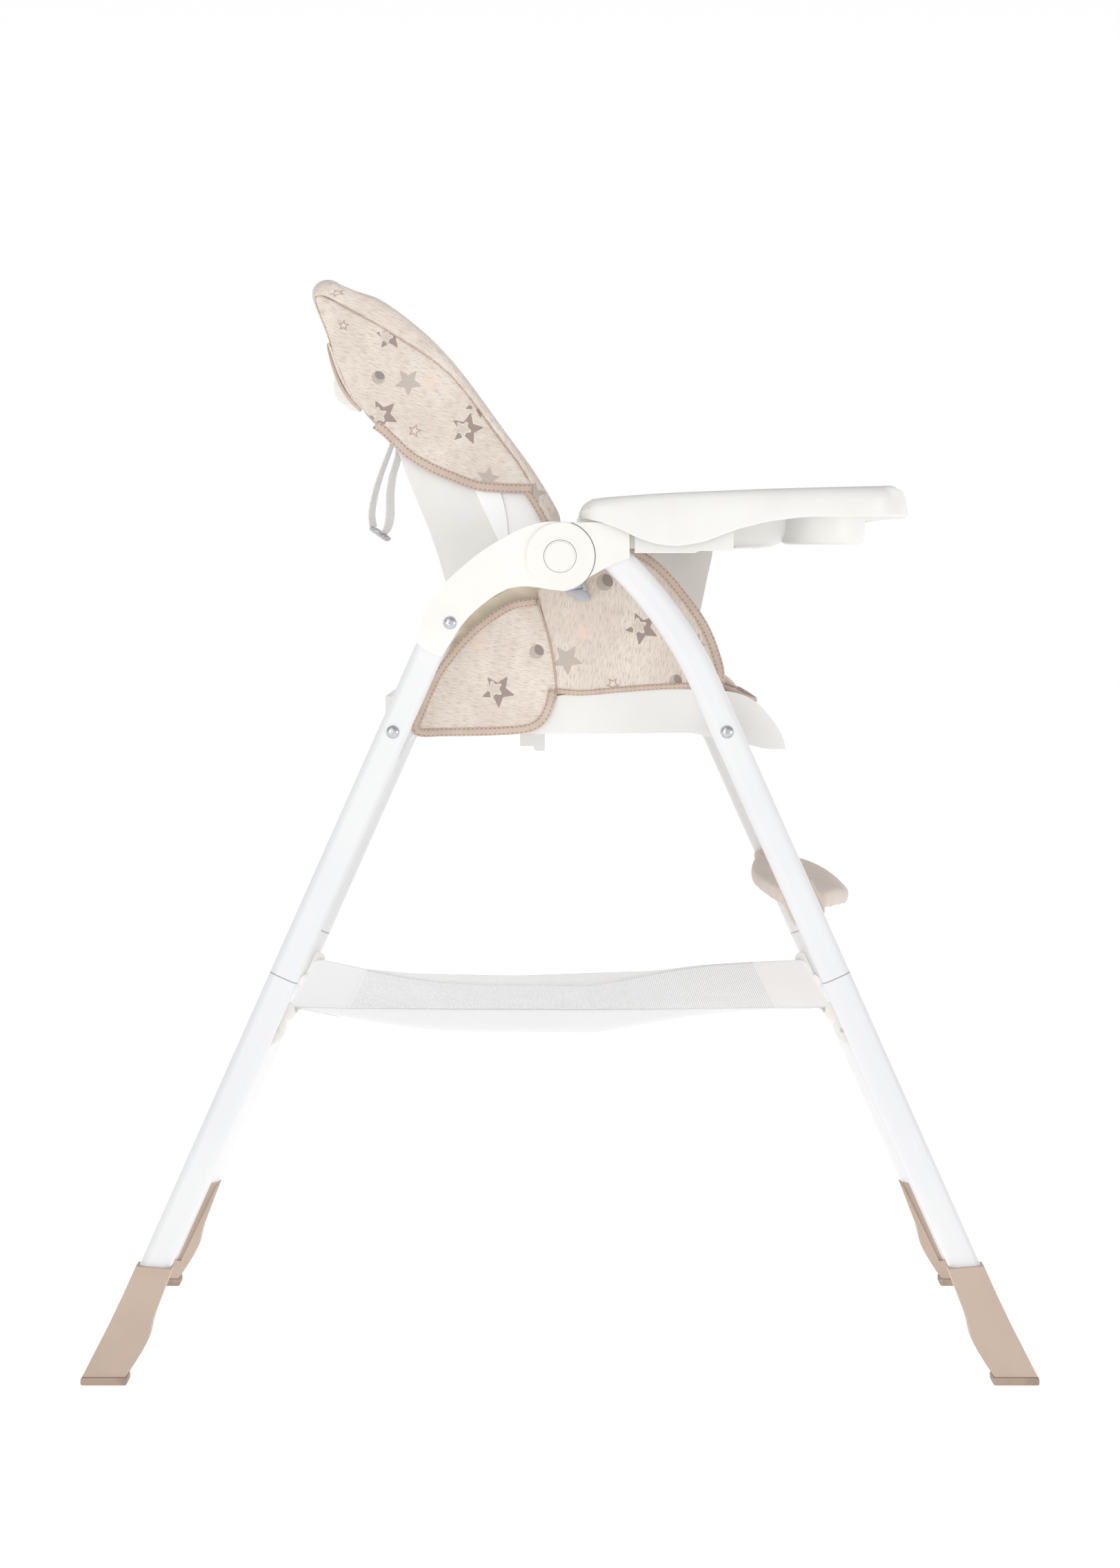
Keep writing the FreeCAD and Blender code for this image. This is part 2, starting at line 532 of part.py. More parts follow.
def backrest_cover():
    """Padded hood over the shell: front pad, side wings, top roll and a short rear skirt."""
    cover = new_body("backrest_cover", BACK)
    wing = runs(WING, [WING[-1], (16, 424)], [(16, 424), (5, 426), (-3, 420)], [(-3, 420), (-5, 300)],
                [(-5, 300), (2, 268)], [(2, 268), (17, 243), (37, 216), (70, 182), (113, 158)],
                [(113, 158), (119, 110)])
    pad = runs([(2, 60), (8, 100), (13, 150), (16.5, 240)], [(16.5, 240), (12.6, 397)], [(12.6, 397), (36, 393)],
               [(36, 393), (42, 330), (44, 240), (42, 150), (30, 60)], [(30, 60), (2, 60)])
    slab(cover, -177.4, 177.4, pad)
    for side in (1, -1):
        slab(cover, *band(side, 184.6, 188.6), wing)
        lining = runs([(112, 112), (107, 150), (98, 203), (88, 258), (75, 309), (56, 352), (40, 378), (30, 392)],
                      [(30, 392), (38, 150)], [(38, 150), (30, 64)], [(30, 64), (60, 66)], [(60, 66), (110, 104)])
        slab(cover, *band(side, 160, 177.4), lining)
    ring = runs(WING, [WING[-1], (16, 424)], [(16, 424), (5, 426), (-3, 420)], [(-3, 420), (-3, 399)],
                [(-3, 399), (25, 399)],
                [(25, 399), (51, 370), (72, 329), (86, 281), (96, 231), (104, 181), (109.5, 131), (110.5, 109)])
    for side in (1, -1):
        slab(cover, *band(side, 160, 184.8), ring)
    top = runs([(-3, 420), (5, 426), (16, 424)], [(16, 424), (36, 411), (46, 398)], [(46, 398), (42, 397.5)],
               [(42, 397.5), (26, 398.5)], [(26, 398.5), (-3, 398.5)])
    slab(cover, -184.7, 184.7, top)
    slab(cover, -177.4, 177.4, poly((26, 388), (24, 400), (42, 400), (44, 394), (40, 388), (26, 388)))
    slab(cover, -184.7, 184.7, poly((-3, 352), (0.5, 352), (0.5, 400), (-3, 400), (-3, 352)))
    for side in (1, -1):
        slab(cover, *band(side, 90, 184.7), poly((-5, 300), (-1.5, 300), (0.5, 400), (-3, 400), (-5, 300)))
    keep("backrest_cover", cover)


def recline_handle():
    handle = new_body("recline_handle", BACK)
    outline = runs([(-8, 301), (-16, 302.5), (-22.5, 308), (-23.8, 318), (-18, 331), (-9, 340)],
                   [(-9, 340), (7.2, 342)], [(7.2, 342), (7.8, 301)], [(7.8, 301), (-8, 301)])
    slab(handle, -78, 78, outline)
    keep("recline_handle", handle)


backrest_shell()
backrest_cover()
recline_handle()


# ---------------------------------------------------------------- tray
def plan(inset, rear, front):
    """Tray outline from above: bowed front edge and a belly curve at the rear."""
    w = S["tray_half_width"] - inset
    x0, x1, nose = rear + inset, front - inset, 348 - inset
    belly = 80 + inset
    return runs([(x0 + 22, -w), (x1 - 46, -w)], [(x1 - 46, -w), (x1 - 12, -w + 14), (x1, -w + 50)],
                [(x1, -w + 50), (nose, 0), (x1, w - 50)], [(x1, w - 50), (x1 - 12, w - 14), (x1 - 46, w)],
                [(x1 - 46, w), (x0 + 22, w)], [(x0 + 22, w), (x0 + 6, w - 6), (x0, w - 22)],
                [(x0, w - 22), (x0, 215)],
                [(x0, 215), (x0 + 20, 176), (belly - 6, 110), (belly, 0), (belly - 6, -110), (x0 + 20, -176),
                 (x0, -215)],
                [(x0, -215), (x0, -w + 22)], [(x0, -w + 22), (x0 + 6, -w + 6), (x0 + 22, -w)])


def tray():
    """Main tray: rim with a wave-shaped side skirt, deep middle basin and a cup well."""
    block = new_body("tray_block")
    layer(block, 770, 850, plan(0, 18, 324))
    side_shape = new_body("tray_side_shape")
    outline = runs([(12, 805), (19.5, 817.5), (26, 824.6), (40, 827.0), (98.1, 831.7), (193, 835.6), (294.9, 838.3),
                    (325, 840.6), (340, 839.5)],
                   [(340, 839.5), (347, 832), (350, 812)], [(350, 812), (340, 810.4)], [(340, 810.4), (228.6, 809.9)],
                   [(228.6, 809.9), (193, 805.6), (164.5, 798.4), (133.7, 786.6), (112.2, 782.4), (93.3, 783),
                    (74.4, 789), (55.4, 798.4), (38.8, 804.4), (26.9, 807.2), (12, 805)])
    slab(side_shape, -280, 280, outline)
    outer = boolean("Part::Common", "tray_outer", block, [side_shape])
    under = new_body("tray_under")
    layer(under, 760, 812, plan(S["tray_wall"], 18, 324))
    belly = new_body("tray_belly_clearance")
    layer(belly, 760, 807, poly((-10, -229), (338, -229), (338, 229), (-10, 229), (-10, -229)))
    dish = new_body("tray_dish")
    layer(dish, 816, 860, plan(14, 18, 324))
    hollow = boolean("Part::Cut", "tray_rim", outer, [under, belly, dish])
    basin = new_body("tray_basin")
    slab(basin, -150, 150, runs([(131, 814), (131, 787)], [(131, 787), (190, 782.2)],
                                [(190, 782.2), (209.5, 788.8), (220.6, 798.6), (236.6, 807.2)],
                                [(236.6, 807.2), (240, 814)]))
    basin_cut = new_body("tray_basin_cut")
    slab(basin_cut, -146.5, 146.5, runs([(134.5, 820), (134.5, 790.4)], [(134.5, 790.4), (189, 786)],
                                        [(189, 786), (206, 791.6), (217, 800.8), (233, 810.4)],
                                        [(233, 810.4), (240, 820)]))
    cx, cy, r = S["cup_x"], S["cup_y"], S["cup_radius"]
    cup = new_body("tray_cup")
    layer(cup, 785, 815, circle(cx, cy, r + 3.5))
    cup_cut = new_body("tray_cup_cut")
    layer(cup_cut, 788.5, 830, circle(cx, cy, r))
    rails = new_body("lever_guides")
    for side in (1, -1):
        slab(rails, *band(side, 34.5, 38), poly((246, 796), (276, 796), (276, 812.5), (246, 812.5), (246, 796)))
        slab(rails, *band(side, 28, 35), poly((246, 796), (276, 796), (276, 799.5), (246, 799.5), (246, 796)))
    added = boolean("Part::MultiFuse", "tray_filled", hollow, [basin, cup, rails])
    keep("tray", boolean("Part::Cut", "tray", added, [basin_cut, cup_cut]))


def tray_insert():
    """Lift-out food tray that lies in the dish; the cup well stays open through it."""
    insert = new_body("tray_insert")
    layer(insert, 816.3, 824, plan(15, 18, 324))
    layer(insert, 819, 830, plan(18, 18, 324), cut=True)
    layer(insert, 810, 830, circle(S["cup_x"], S["cup_y"], S["cup_radius"] + 1), cut=True)
    keep("tray_insert", insert)


def tray_sleeves():
    """Sleeves under the tray that slide on the tongues of the front arms."""
    pair = []
    for side in (1, -1):
        sleeve = new_body("tray_sleeve_" + side_name(side))
        slab(sleeve, *band(side, 235.5, 264.5), poly((69.5, 776), (126, 776), (130, 778), (162, 778), (162, 811.7),
                                                     (69.5, 811.7), (69.5, 776)))
        slab(sleeve, *band(side, 239.6, 260.4), poly((60, 779.6), (158.5, 779.6), (158.5, 796.4), (60, 796.4),
                                                     (60, 779.6)), cut=True)
        slab(sleeve, *band(side, 239.6, 260.4), poly((73, 800), (158.5, 800), (158.5, 808), (73, 808), (73, 800)),
             cut=True)
        pair.append(sleeve)
    keep("tray_sleeves", boolean("Part::MultiFuse", "tray_sleeves", pair[0], pair[1:]))


def tray_lever():
    lever = new_body("tray_release_lever")
    slab(lever, -34, 34, runs([(242, 800), (282, 800)], [(282, 800), (286, 794), (291, 794)], [(291, 794), (292, 806)],
                              [(292, 806), (242, 806)], [(242, 806), (242, 800)]))
    keep("tray_release_lever", lever)


def crotch_post():
    post = new_body("crotch_post")
    outline = runs([(90, 781.6), (130.6, 781.6)], [(130.6, 781.6), (152.6, 781.6)], [(152.6, 781.6), (150.5, 770)],
                   [(150.5, 770), (143.5, 738), (137, 706), (129, 672)], [(129, 672), (120, 667), (111, 672)],
                   [(111, 672), (106, 700), (98, 740), (90, 781.6)])
    slab(post, -21, 21, outline)
    hollow = runs([(95, 790), (148, 790)], [(148, 790), (147, 770)], [(147, 770), (140, 738), (133.5, 706), (125, 676)],
                  [(125, 676), (115, 676)], [(115, 676), (109.5, 700), (101.5, 740), (94, 779)])
    slab(post, -18, 18, hollow, cut=True)
    slab(post, -21, 21, poly((90, 781.5), (130.6, 781.5), (130.6, 806.6), (104, 806.6), (90, 781.5)))
    slab(post, -17, 17, poly((98, 779), (127, 779), (127, 803), (107, 803), (98, 779)), cut=True)
    keep("crotch_post", post)


tray()
tray_insert()
tray_sleeves()
tray_lever()
crotch_post()


# ---------------------------------------------------------------- footrest and basket
def footrest():
    """Bowed step between the front legs, on clips that slide along their inner faces."""
    block = new_body("footrest_plan")
    layer(block, 425, 470, runs([(212, -231.9), (199, -130), (193, 0), (199, 130), (212, 231.9)],
                                [(212, 231.9), (250, 231.9)],
                                [(250, 231.9), (275, 130), (287.5, 0), (275, -130), (250, -231.9)],
                                [(250, -231.9), (212, -231.9)]))
    profile = new_body("footrest_profile")
    slab(profile, -232, 232, runs([(190, 447), (190, 458)],
                                  [(190, 458), (197, 459.6), (215, 459.6), (250, 457.4), (273, 452.6), (288, 441.6)],
                                  [(288, 441.6), (284, 436), (270, 437.4), (250, 440.6), (210, 443.4), (190, 447)]))
    step = boolean("Part::Common", "footrest_step", block, [profile])
    under = new_body("footrest_hollow")
    slab(under, -226, 226, runs([(216, 430), (216, 452.6)], [(216, 452.6), (248, 450.6)], [(248, 450.6), (248, 430)]))
    clips, sockets = [], [under]
    for side in (1, -1):
        clip = new_body("footrest_clip_" + side_name(side), leg_place(1, side))
        base, top = along_leg(430), along_leg(467)
        slab(clip, *band(-side, 4, 18.2), rounded(-17, base, 17, top, 5))
        clips.append(clip)
        sockets.append(leg_solid("footrest_socket_" + side_name(side), 1, side, 0.3, base - 20, top + 20))
    solid = boolean("Part::MultiFuse", "footrest_solid", step, clips)
    keep("footrest", boolean("Part::Cut", "footrest", solid, sockets))


def basket_clips(end):
    """Moulded hooks on the inner leg faces, their screws, and the rod that the basket hangs on."""
    name = end_name(end)
    outline = runs([(250, 344), (251.5, 352), (259, 354)], [(259, 354), (270, 331)],
                   [(270, 331), (276, 318), (271.5, 313.5)], [(271.5, 313.5), (262, 320)],
                   [(262, 320), (257.5, 328), (258, 338)], [(258, 338), (250, 344)])
    clips, screws = [], []
    for side in (1, -1):
        clip = new_body("%s_clip_%s" % (name, side_name(side)))
        slab(clip, *band(side, 234, 238.8), flip(outline, end))
        slab(clip, *band(side, 225, 236), flip(circle(254.5, S["basket_rod_height"], 5.4), end))
        slab(clip, *band(side, 224, 232), flip(circle(254.5, S["basket_rod_height"], 3.1), end), cut=True)
        slab(clip, *band(side, 230, 240), flip(circle(265, 328, S["screw_radius"] - 1), end), cut=True)
        clips.append(clip)
        screw = new_body("%s_screw_%s" % (name, side_name(side)))
        slab(screw, *band(side, 231.8, 233.8), flip(circle(265, 328, S["screw_radius"] + 0.6), end))
        slab(screw, *band(side, 233, 238.8), flip(circle(265, 328, S["screw_radius"] - 1.1), end))
        slab(screw, *band(side, 231, 232.8), flip(poly((264.4, 326), (265.6, 326), (265.6, 330), (264.4, 330),
                                                       (264.4, 326)), end), cut=True)
        screws.append(screw)
    keep("basket_clips_" + name, boolean("Part::MultiFuse", "basket_clips_" + name, clips[0], clips[1:]))
    keep("basket_screws_" + name, boolean("Part::MultiFuse", "basket_screws_" + name, screws[0], screws[1:]))
    keep("basket_rod_" + name, rod("basket_rod_" + name, 3, end * 254.5, S["basket_rod_height"], -231.6, 231.6))


def basket():
    """Sling of cloth with low side walls, its ends looped round the two rods."""
    cloth = new_body("basket_fabric")
    upper = [(-252.5, 346.2), (-205, 341.0), (-124, 322.6), (-34, 321.4), (33, 321.0), (90, 331.4), (205, 345.0),
             (252.5, 346.2)]
    lower = [(x, z - 1.6) for x, z in reversed(upper)]
    floor = poly(*(upper + lower + [upper[0]]))
    slab(cloth, -219, 219, floor)
    wall = poly(*([(-205, 346.4), (-205, 340), (-124, 321.8), (-34, 320.6), (33, 320.2), (90, 330.6), (200, 343.8),
                   (205, 346.4), (-205, 346.4)]))
    for side in (1, -1):
        slab(cloth, *band(side, 217.4, 219), wall)
    for end in (1, -1):
        slab(cloth, -219, 219, circle(end * 254.5, S["basket_rod_height"], 4.9))
        slab(cloth, -220, 220, circle(end * 254.5, S["basket_rod_height"], 3.1), cut=True)
    keep("basket_fabric", cloth)


footrest()
basket_clips(1)
basket_clips(-1)
basket()


# ---------------------------------------------------------------- harness and webbing
def ribbon(points, thick):
    """Outline of a strap of the given thickness along a line of points."""
    offset = []
    for i, (x, z) in enumerate(points):
        ax, az = points[max(i - 1, 0)]
        bx, bz = points[min(i + 1, len(points) - 1)]
        length = math.hypot(bx - ax, bz - az)
        offset.append((x - (bz - az) / length * thick, z + (bx - ax) / length * thick))
    return poly(*(points + offset[::-1] + [points[0]]))


def harness():
    straps = new_body("shoulder_straps", BACK)
    pads = new_body("shoulder_pads", BACK)
    path = [(46, 84), (47.5, 150), (48, 240), (45.5, 262)]
    pad_path = [(50, 150), (50.4, 200), (50.6, 244)]
    for side in (1, -1):
        slab(straps, *band(side, 38, 58), ribbon(path, 1.6))
        slab(pads, *band(side, 33, 63), ribbon(pad_path, -7))
    keep("shoulder_straps", straps)
    keep("shoulder_pads", pads)
    lap = new_body("lap_straps")
    slab(lap, -10, 10, ribbon([(74, 664.2), (73, 686)], 1.6))
    for side in (1, -1):
        slab(lap, *band(side, 25, 150), poly((56, 684), (74, 684), (74, 685.6), (56, 685.6), (56, 684)))
        slab(lap, *band(side, 148.4, 150), poly((56, 664.4), (74, 664.4), (74, 685), (56, 685), (56, 664.4)))
    keep("lap_straps", lap)
    buckle = new_body("buckle")
    slab(buckle, -25, 25, rounded(50, 686.4, 82, 698, 4))
    slab(buckle, -9.3, 9.3, rounded(56.7, 692, 75.3, 699, 2), cut=True)
    keep("buckle", buckle)
    button = new_body("buckle_button")
    slab(button, -9, 9, rounded(57, 694.6, 75, 699.6, 1.8))
    keep("buckle_button", button)


def hanging_straps():
    """Spare strap that hangs in a loop behind the back, and the adjusters."""
    loop = new_body("strap_loop")
    slab(loop, -10, 10, ribbon([(-166.6, 892.3), (-169, 884), (-179, 854.7), (-186.5, 826.4), (-188.5, 808)], 1.4))
    slab(loop, -10, 10, ribbon([(-161.2, 881.6), (-162.5, 872), (-166.8, 854.7), (-170, 836), (-170.5, 815.3),
                                (-173.8, 801.5)], 1.4))
    keep("strap_loop", loop)
    slide = new_body("strap_adjuster")
    slab(slide, -14, 14, poly((-192, 798), (-186, 806.6), (-171, 798.6), (-167, 791), (-176, 787), (-192, 798)))
    slab(slide, -10.5, 10.5, poly((-188.6, 798.6), (-185, 803.6), (-181, 801.4), (-184, 796), (-188.6, 798.6)), cut=True)
    keep("strap_adjuster", slide)
    pair = []
    for side in (1, -1):
        lump = new_body("side_adjuster_" + side_name(side))
        slab(lump, *band(side, 197.6, 205), poly((5, 749.5), (9, 744), (7, 738), (20, 731), (29, 730), (27, 738),
                                                 (18.7, 746), (14, 750), (5, 749.5)))
        pair.append(lump)
    keep("side_adjusters", boolean("Part::MultiFuse", "side_adjusters", pair[0], pair[1:]))


harness()
hanging_straps()

# ---------------------------------------------------------------- check and export
doc.recompute()
for obj in doc.Objects:
    if "Invalid" in obj.State or "Error" in obj.State:
        raise RuntimeError("%s (%s) did not compute: %s" % (obj.Name, obj.TypeId, obj.State))
os.makedirs("parts", exist_ok=True)
for name, obj in NODES.items():
    shape = obj.Shape
    if shape.isNull() or not shape.isValid() or not shape.Solids:
        raise RuntimeError("%s has no valid solid" % name)
    shape.exportStep("parts/%s.step" % name)
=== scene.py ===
import json
import math
from contextlib import contextmanager

import bmesh
import bpy
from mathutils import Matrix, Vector, noise

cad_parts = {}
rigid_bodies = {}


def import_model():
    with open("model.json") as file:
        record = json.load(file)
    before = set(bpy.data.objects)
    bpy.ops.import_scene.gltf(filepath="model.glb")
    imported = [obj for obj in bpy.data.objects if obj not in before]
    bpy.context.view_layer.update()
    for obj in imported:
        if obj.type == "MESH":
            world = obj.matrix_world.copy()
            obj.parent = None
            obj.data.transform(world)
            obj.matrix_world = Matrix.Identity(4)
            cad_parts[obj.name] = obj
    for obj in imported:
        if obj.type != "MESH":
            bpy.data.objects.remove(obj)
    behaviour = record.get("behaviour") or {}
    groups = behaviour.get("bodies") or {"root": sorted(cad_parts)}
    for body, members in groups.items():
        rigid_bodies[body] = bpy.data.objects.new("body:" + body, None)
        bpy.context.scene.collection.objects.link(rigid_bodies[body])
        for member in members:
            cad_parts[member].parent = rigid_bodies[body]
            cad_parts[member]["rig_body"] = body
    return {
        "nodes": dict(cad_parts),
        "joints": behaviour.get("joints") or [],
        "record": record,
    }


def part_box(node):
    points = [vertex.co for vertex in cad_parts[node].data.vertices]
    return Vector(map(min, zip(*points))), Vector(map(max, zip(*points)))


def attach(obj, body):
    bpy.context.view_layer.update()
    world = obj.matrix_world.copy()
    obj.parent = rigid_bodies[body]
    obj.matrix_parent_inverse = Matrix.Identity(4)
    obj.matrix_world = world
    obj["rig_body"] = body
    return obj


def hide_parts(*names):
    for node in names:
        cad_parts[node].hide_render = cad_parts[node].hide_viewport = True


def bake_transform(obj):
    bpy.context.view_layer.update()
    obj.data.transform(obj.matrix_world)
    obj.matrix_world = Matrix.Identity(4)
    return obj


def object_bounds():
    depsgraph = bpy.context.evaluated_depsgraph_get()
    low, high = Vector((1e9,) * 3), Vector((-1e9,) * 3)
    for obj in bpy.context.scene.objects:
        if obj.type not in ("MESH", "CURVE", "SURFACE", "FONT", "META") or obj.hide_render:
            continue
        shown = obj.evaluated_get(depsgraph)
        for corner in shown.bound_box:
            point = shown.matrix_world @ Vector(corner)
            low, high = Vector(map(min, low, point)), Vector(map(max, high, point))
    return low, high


# A folding baby high chair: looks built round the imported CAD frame.  Metres, X forward
# to the tray, Y to the child's left, Z up from the floor.
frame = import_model()
CAD_LOW, CAD_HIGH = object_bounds()
JOINTS = {j["name"]: j for j in frame["joints"]}
scene = bpy.context.scene
scene.view_settings.view_transform = "Standard"
MM = 0.001
CLOTH_THICKNESS = 0.0018
FABRIC = "printed_fabric"


# ------------------------------------------------ curves
def catmull(points, steps, closed=False):
    """Smooth line through points, with the given number of steps between neighbours."""
    pts = [Vector(p) for p in points]
    n = len(pts)
    out = []
    spans = n if closed else n - 1
    for i in range(spans):
        if closed:
            p0, p1, p2, p3 = pts[(i - 1) % n], pts[i], pts[(i + 1) % n], pts[(i + 2) % n]
        else:
            p1, p2 = pts[i], pts[i + 1]
            p0 = pts[i - 1] if i else p1 * 2 - p2
            p3 = pts[i + 2] if i + 2 < n else p2 * 2 - p1
        for k in range(steps):
            t = k / steps
            out.append(0.5 * (p1 * 2 + (p2 - p0) * t + (p0 * 2 - p1 * 5 + p2 * 4 - p3) * t * t
                              + (p1 * 3 - p0 - p2 * 3 + p3) * t ** 3))
    if not closed:
        out.append(pts[-1])
    return out


def even(points, count):
    """The same line as count points at equal distances."""
    pts = [Vector(p) for p in points]
    run = [0.0]
    for a, b in zip(pts, pts[1:]):
        run.append(run[-1] + (b - a).length)
    out, j = [], 0
    for i in range(count):
        want = run[-1] * i / (count - 1)
        while j < len(run) - 2 and run[j + 1] < want:
            j += 1
        span = run[j + 1] - run[j]
        out.append(pts[j].lerp(pts[j + 1], (want - run[j]) / span if span else 0))
    return out


def curve2(points, count):
    """Count evenly spaced points on a smooth line through 2-D points."""
    return [(p.x, p.y) for p in even(catmull([(x, z, 0) for x, z in points], 12), count)]


def table(points):
    """Piecewise straight function through (x, value) pairs."""
    def value(x):
        if x <= points[0][0]:
            return points[0][1]
        for (x0, v0), (x1, v1) in zip(points, points[1:]):
            if x <= x1:
                return v0 + (v1 - v0) * (x - x0) / (x1 - x0)
        return points[-1][1]
    return value


def mirrored(line, first=1):
    """A line of (x, y, z) that ends in the middle, carried on to the other side."""
    return [(x, first * y, z) for x, y, z in line] + [(x, -first * y, z) for x, y, z in line[-2::-1]]


def ease(t):
    t = min(max(t, 0.0), 1.0)
    return t * t * (3 - 2 * t)


# ------------------------------------------------ meshes
@contextmanager
def edited(mesh):
    """Work on a mesh through bmesh; the result is written back at the end."""
    bm = bmesh.new()
    bm.from_mesh(mesh)
    bm.verts.ensure_lookup_table()
    yield bm
    bm.to_mesh(mesh)
    bm.free()


def clad(mesh, material):
    """One material, shaded smooth."""
    mesh.materials.clear()
    mesh.materials.append(material)
    for face in mesh.polygons:
        face.use_smooth = True


def new_object(name, mesh, material, body, slot, angle=None):
    obj = bpy.data.objects.new(name, mesh)
    scene.collection.objects.link(obj)
    clad(mesh, material)
    if angle is not None:
        mesh.set_sharp_from_angle(angle=math.radians(angle))
    obj["body"], obj["slot"] = body, slot
    return obj


def settle(obj, *nodes):
    """Ride and stand-in for a finished piece."""
    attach(obj, obj["body"])
    if nodes:
        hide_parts(*nodes)
    return obj


def grid(name, rows, material, body, slot, wrap=False, angle=None, uv=None, flip=False):
    """Quad sheet through rows of points, with a UV map in metres."""
    mesh = bpy.data.meshes.new(name)
    wide = len(rows[0])
    verts = [tuple(p) for row in rows for p in row]
    faces = []
    span = wide if wrap else wide - 1
    for j in range(len(rows) - 1):
        for i in range(span):
            k = (i + 1) % wide
            quad = (j * wide + i, j * wide + k, (j + 1) * wide + k, (j + 1) * wide + i)
            faces.append(quad[::-1] if flip else quad)
    mesh.from_pydata(verts, [], faces)
    if uv is None:
        uv = distances(rows)
    layer = mesh.uv_layers.new(name="panel")
    flat = [p for row in uv for p in row]
    for loop in mesh.loops:
        layer.data[loop.index].uv = flat[loop.vertex_index]
    return new_object(name, mesh, material, body, slot, angle)


def distances(rows):
    """UV of a grid: distance along each row, and along the middle column."""
    mid = len(rows[0]) // 2
    out, v = [], 0.0
    for j, row in enumerate(rows):
        if j:
            v += (Vector(row[mid]) - Vector(rows[j - 1][mid])).length
        line, u = [], 0.0
        for i, p in enumerate(row):
            if i:
                u += (Vector(p) - Vector(row[i - 1])).length
            line.append((u, v))
        out.append([(a - line[mid][0], b) for a, b in line])
    return out


def smoothed(obj, levels=1):
    sub = obj.modifiers.new("smooth", "SUBSURF")
    sub.levels = sub.render_levels = levels
    return obj


def thicken(obj, thickness=CLOTH_THICKNESS, levels=1):
    solid = obj.modifiers.new("thickness", "SOLIDIFY")
    solid.thickness, solid.offset = thickness, 0.0
    return smoothed(obj, levels)


def bake(obj):
    """Replace an object's mesh with its modified one."""
    graph = bpy.context.evaluated_depsgraph_get()
    mesh = bpy.data.meshes.new_from_object(obj.evaluated_get(graph))
    obj.modifiers.clear()
    obj.data = mesh
    return obj


def sweep(name, path, profile, material, body, slot, up=(0, 1, 0), closed=False):
    """A section carried along a path; the section's second coordinate lies along up."""
    pts = [Vector(p) for p in path]
    n = len(pts)
    rows, uv, run = [], [], 0.0
    count = len(profile)
    for i, p in enumerate(pts):
        a = pts[(i - 1) % n] if closed else pts[max(i - 1, 0)]
        b = pts[(i + 1) % n] if closed else pts[min(i + 1, n - 1)]
        tangent = (b - a).normalized()
        lift = Vector(up[i]) if isinstance(up, list) else Vector(up)
        across = tangent.cross(lift).normalized()
        lift = across.cross(tangent).normalized()
        if i:
            run += (p - pts[i - 1]).length
        rows.append([p + across * s + lift * t for s, t in profile])
        uv.append([(run, k / count) for k in range(count)])
    if closed:
        rows.append(rows[0])
        uv.append([(run, k / count) for k in range(count)])
    obj = grid(name, rows, material, body, slot, wrap=True, uv=uv)
    if not closed:
        with edited(obj.data) as bm:
            bm.faces.new(bm.verts[:count])
            bm.faces.new(bm.verts[-count:][::-1])
            bmesh.ops.recalc_face_normals(bm, faces=bm.faces)
    return obj


def signed_power(value, power):
    return math.copysign(abs(value) ** power, value)


def oval(half_wide, half_thick, count=12, power=0.7):
    """Rounded flat section."""
    out = []
    for k in range(count):
        a = 2 * math.pi * k / count
        c, s = math.cos(a), math.sin(a)
        out.append((signed_power(c, power) * half_wide, signed_power(s, power) * half_thick))
    return out


def closed_form(bm, near, far):
    """Two outlines of points joined into one closed form."""
    a, b = [[bm.verts.new(p) for p in ring] for ring in (near, far)]
    bm.faces.new(a)
    bm.faces.new(b[::-1])
    for i in range(len(a)):
        k = (i + 1) % len(a)
        bm.faces.new((a[i], b[i], b[k], a[k]))
    bmesh.ops.recalc_face_normals(bm, faces=bm.faces)


def bevel(bm, edges, width, segments=3):
    bmesh.ops.bevel(bm, geom=edges, offset=width, offset_type="OFFSET", segments=segments,
                    profile=0.5, affect="EDGES", clamp_overlap=True)


def prism(name, outline, y0, y1, material, body, slot, width=0.001):
    """Side outline made solid between two Y planes, with rounded edges."""
    mesh = bpy.data.meshes.new(name)
    with edited(mesh) as bm:
        closed_form(bm, *[[(x, y, z) for x, z in outline] for y in (y0, y1)])
        bevel(bm, [e for e in bm.edges if e.calc_face_angle(0) > math.radians(35)], width)
    return new_object(name, mesh, material, body, slot, 40)


def lathe(name, centre, axis, profile, material, body, slot, count=48):
    """Round piece: profile of (radius, distance along the axis)."""
    axis = Vector(axis).normalized()
    side = axis.orthogonal().normalized()
    other = axis.cross(side)
    rows = []
    for k in range(count + 1):
        a = 2 * math.pi * k / count
        out = side * math.cos(a) + other * math.sin(a)
        rows.append([Vector(centre) + out * r + axis * h for r, h in profile])
    return grid(name, rows, material, body, slot, angle=40)


def joined(name, *objs):
    """Several objects as one piece."""
    for other in objs[1:]:
        if other.data.uv_layers and not objs[0].data.uv_layers:
            objs[0].data.uv_layers.new(name="panel")
    bpy.ops.object.select_all(action="DESELECT")
    for o in objs:
        if o.modifiers:
            bake(o)
        o.select_set(True)
    bpy.context.view_layer.objects.active = objs[0]
    bpy.ops.object.join()
    objs[0].name = name
    return objs[0]


SHARP = math.radians(28)


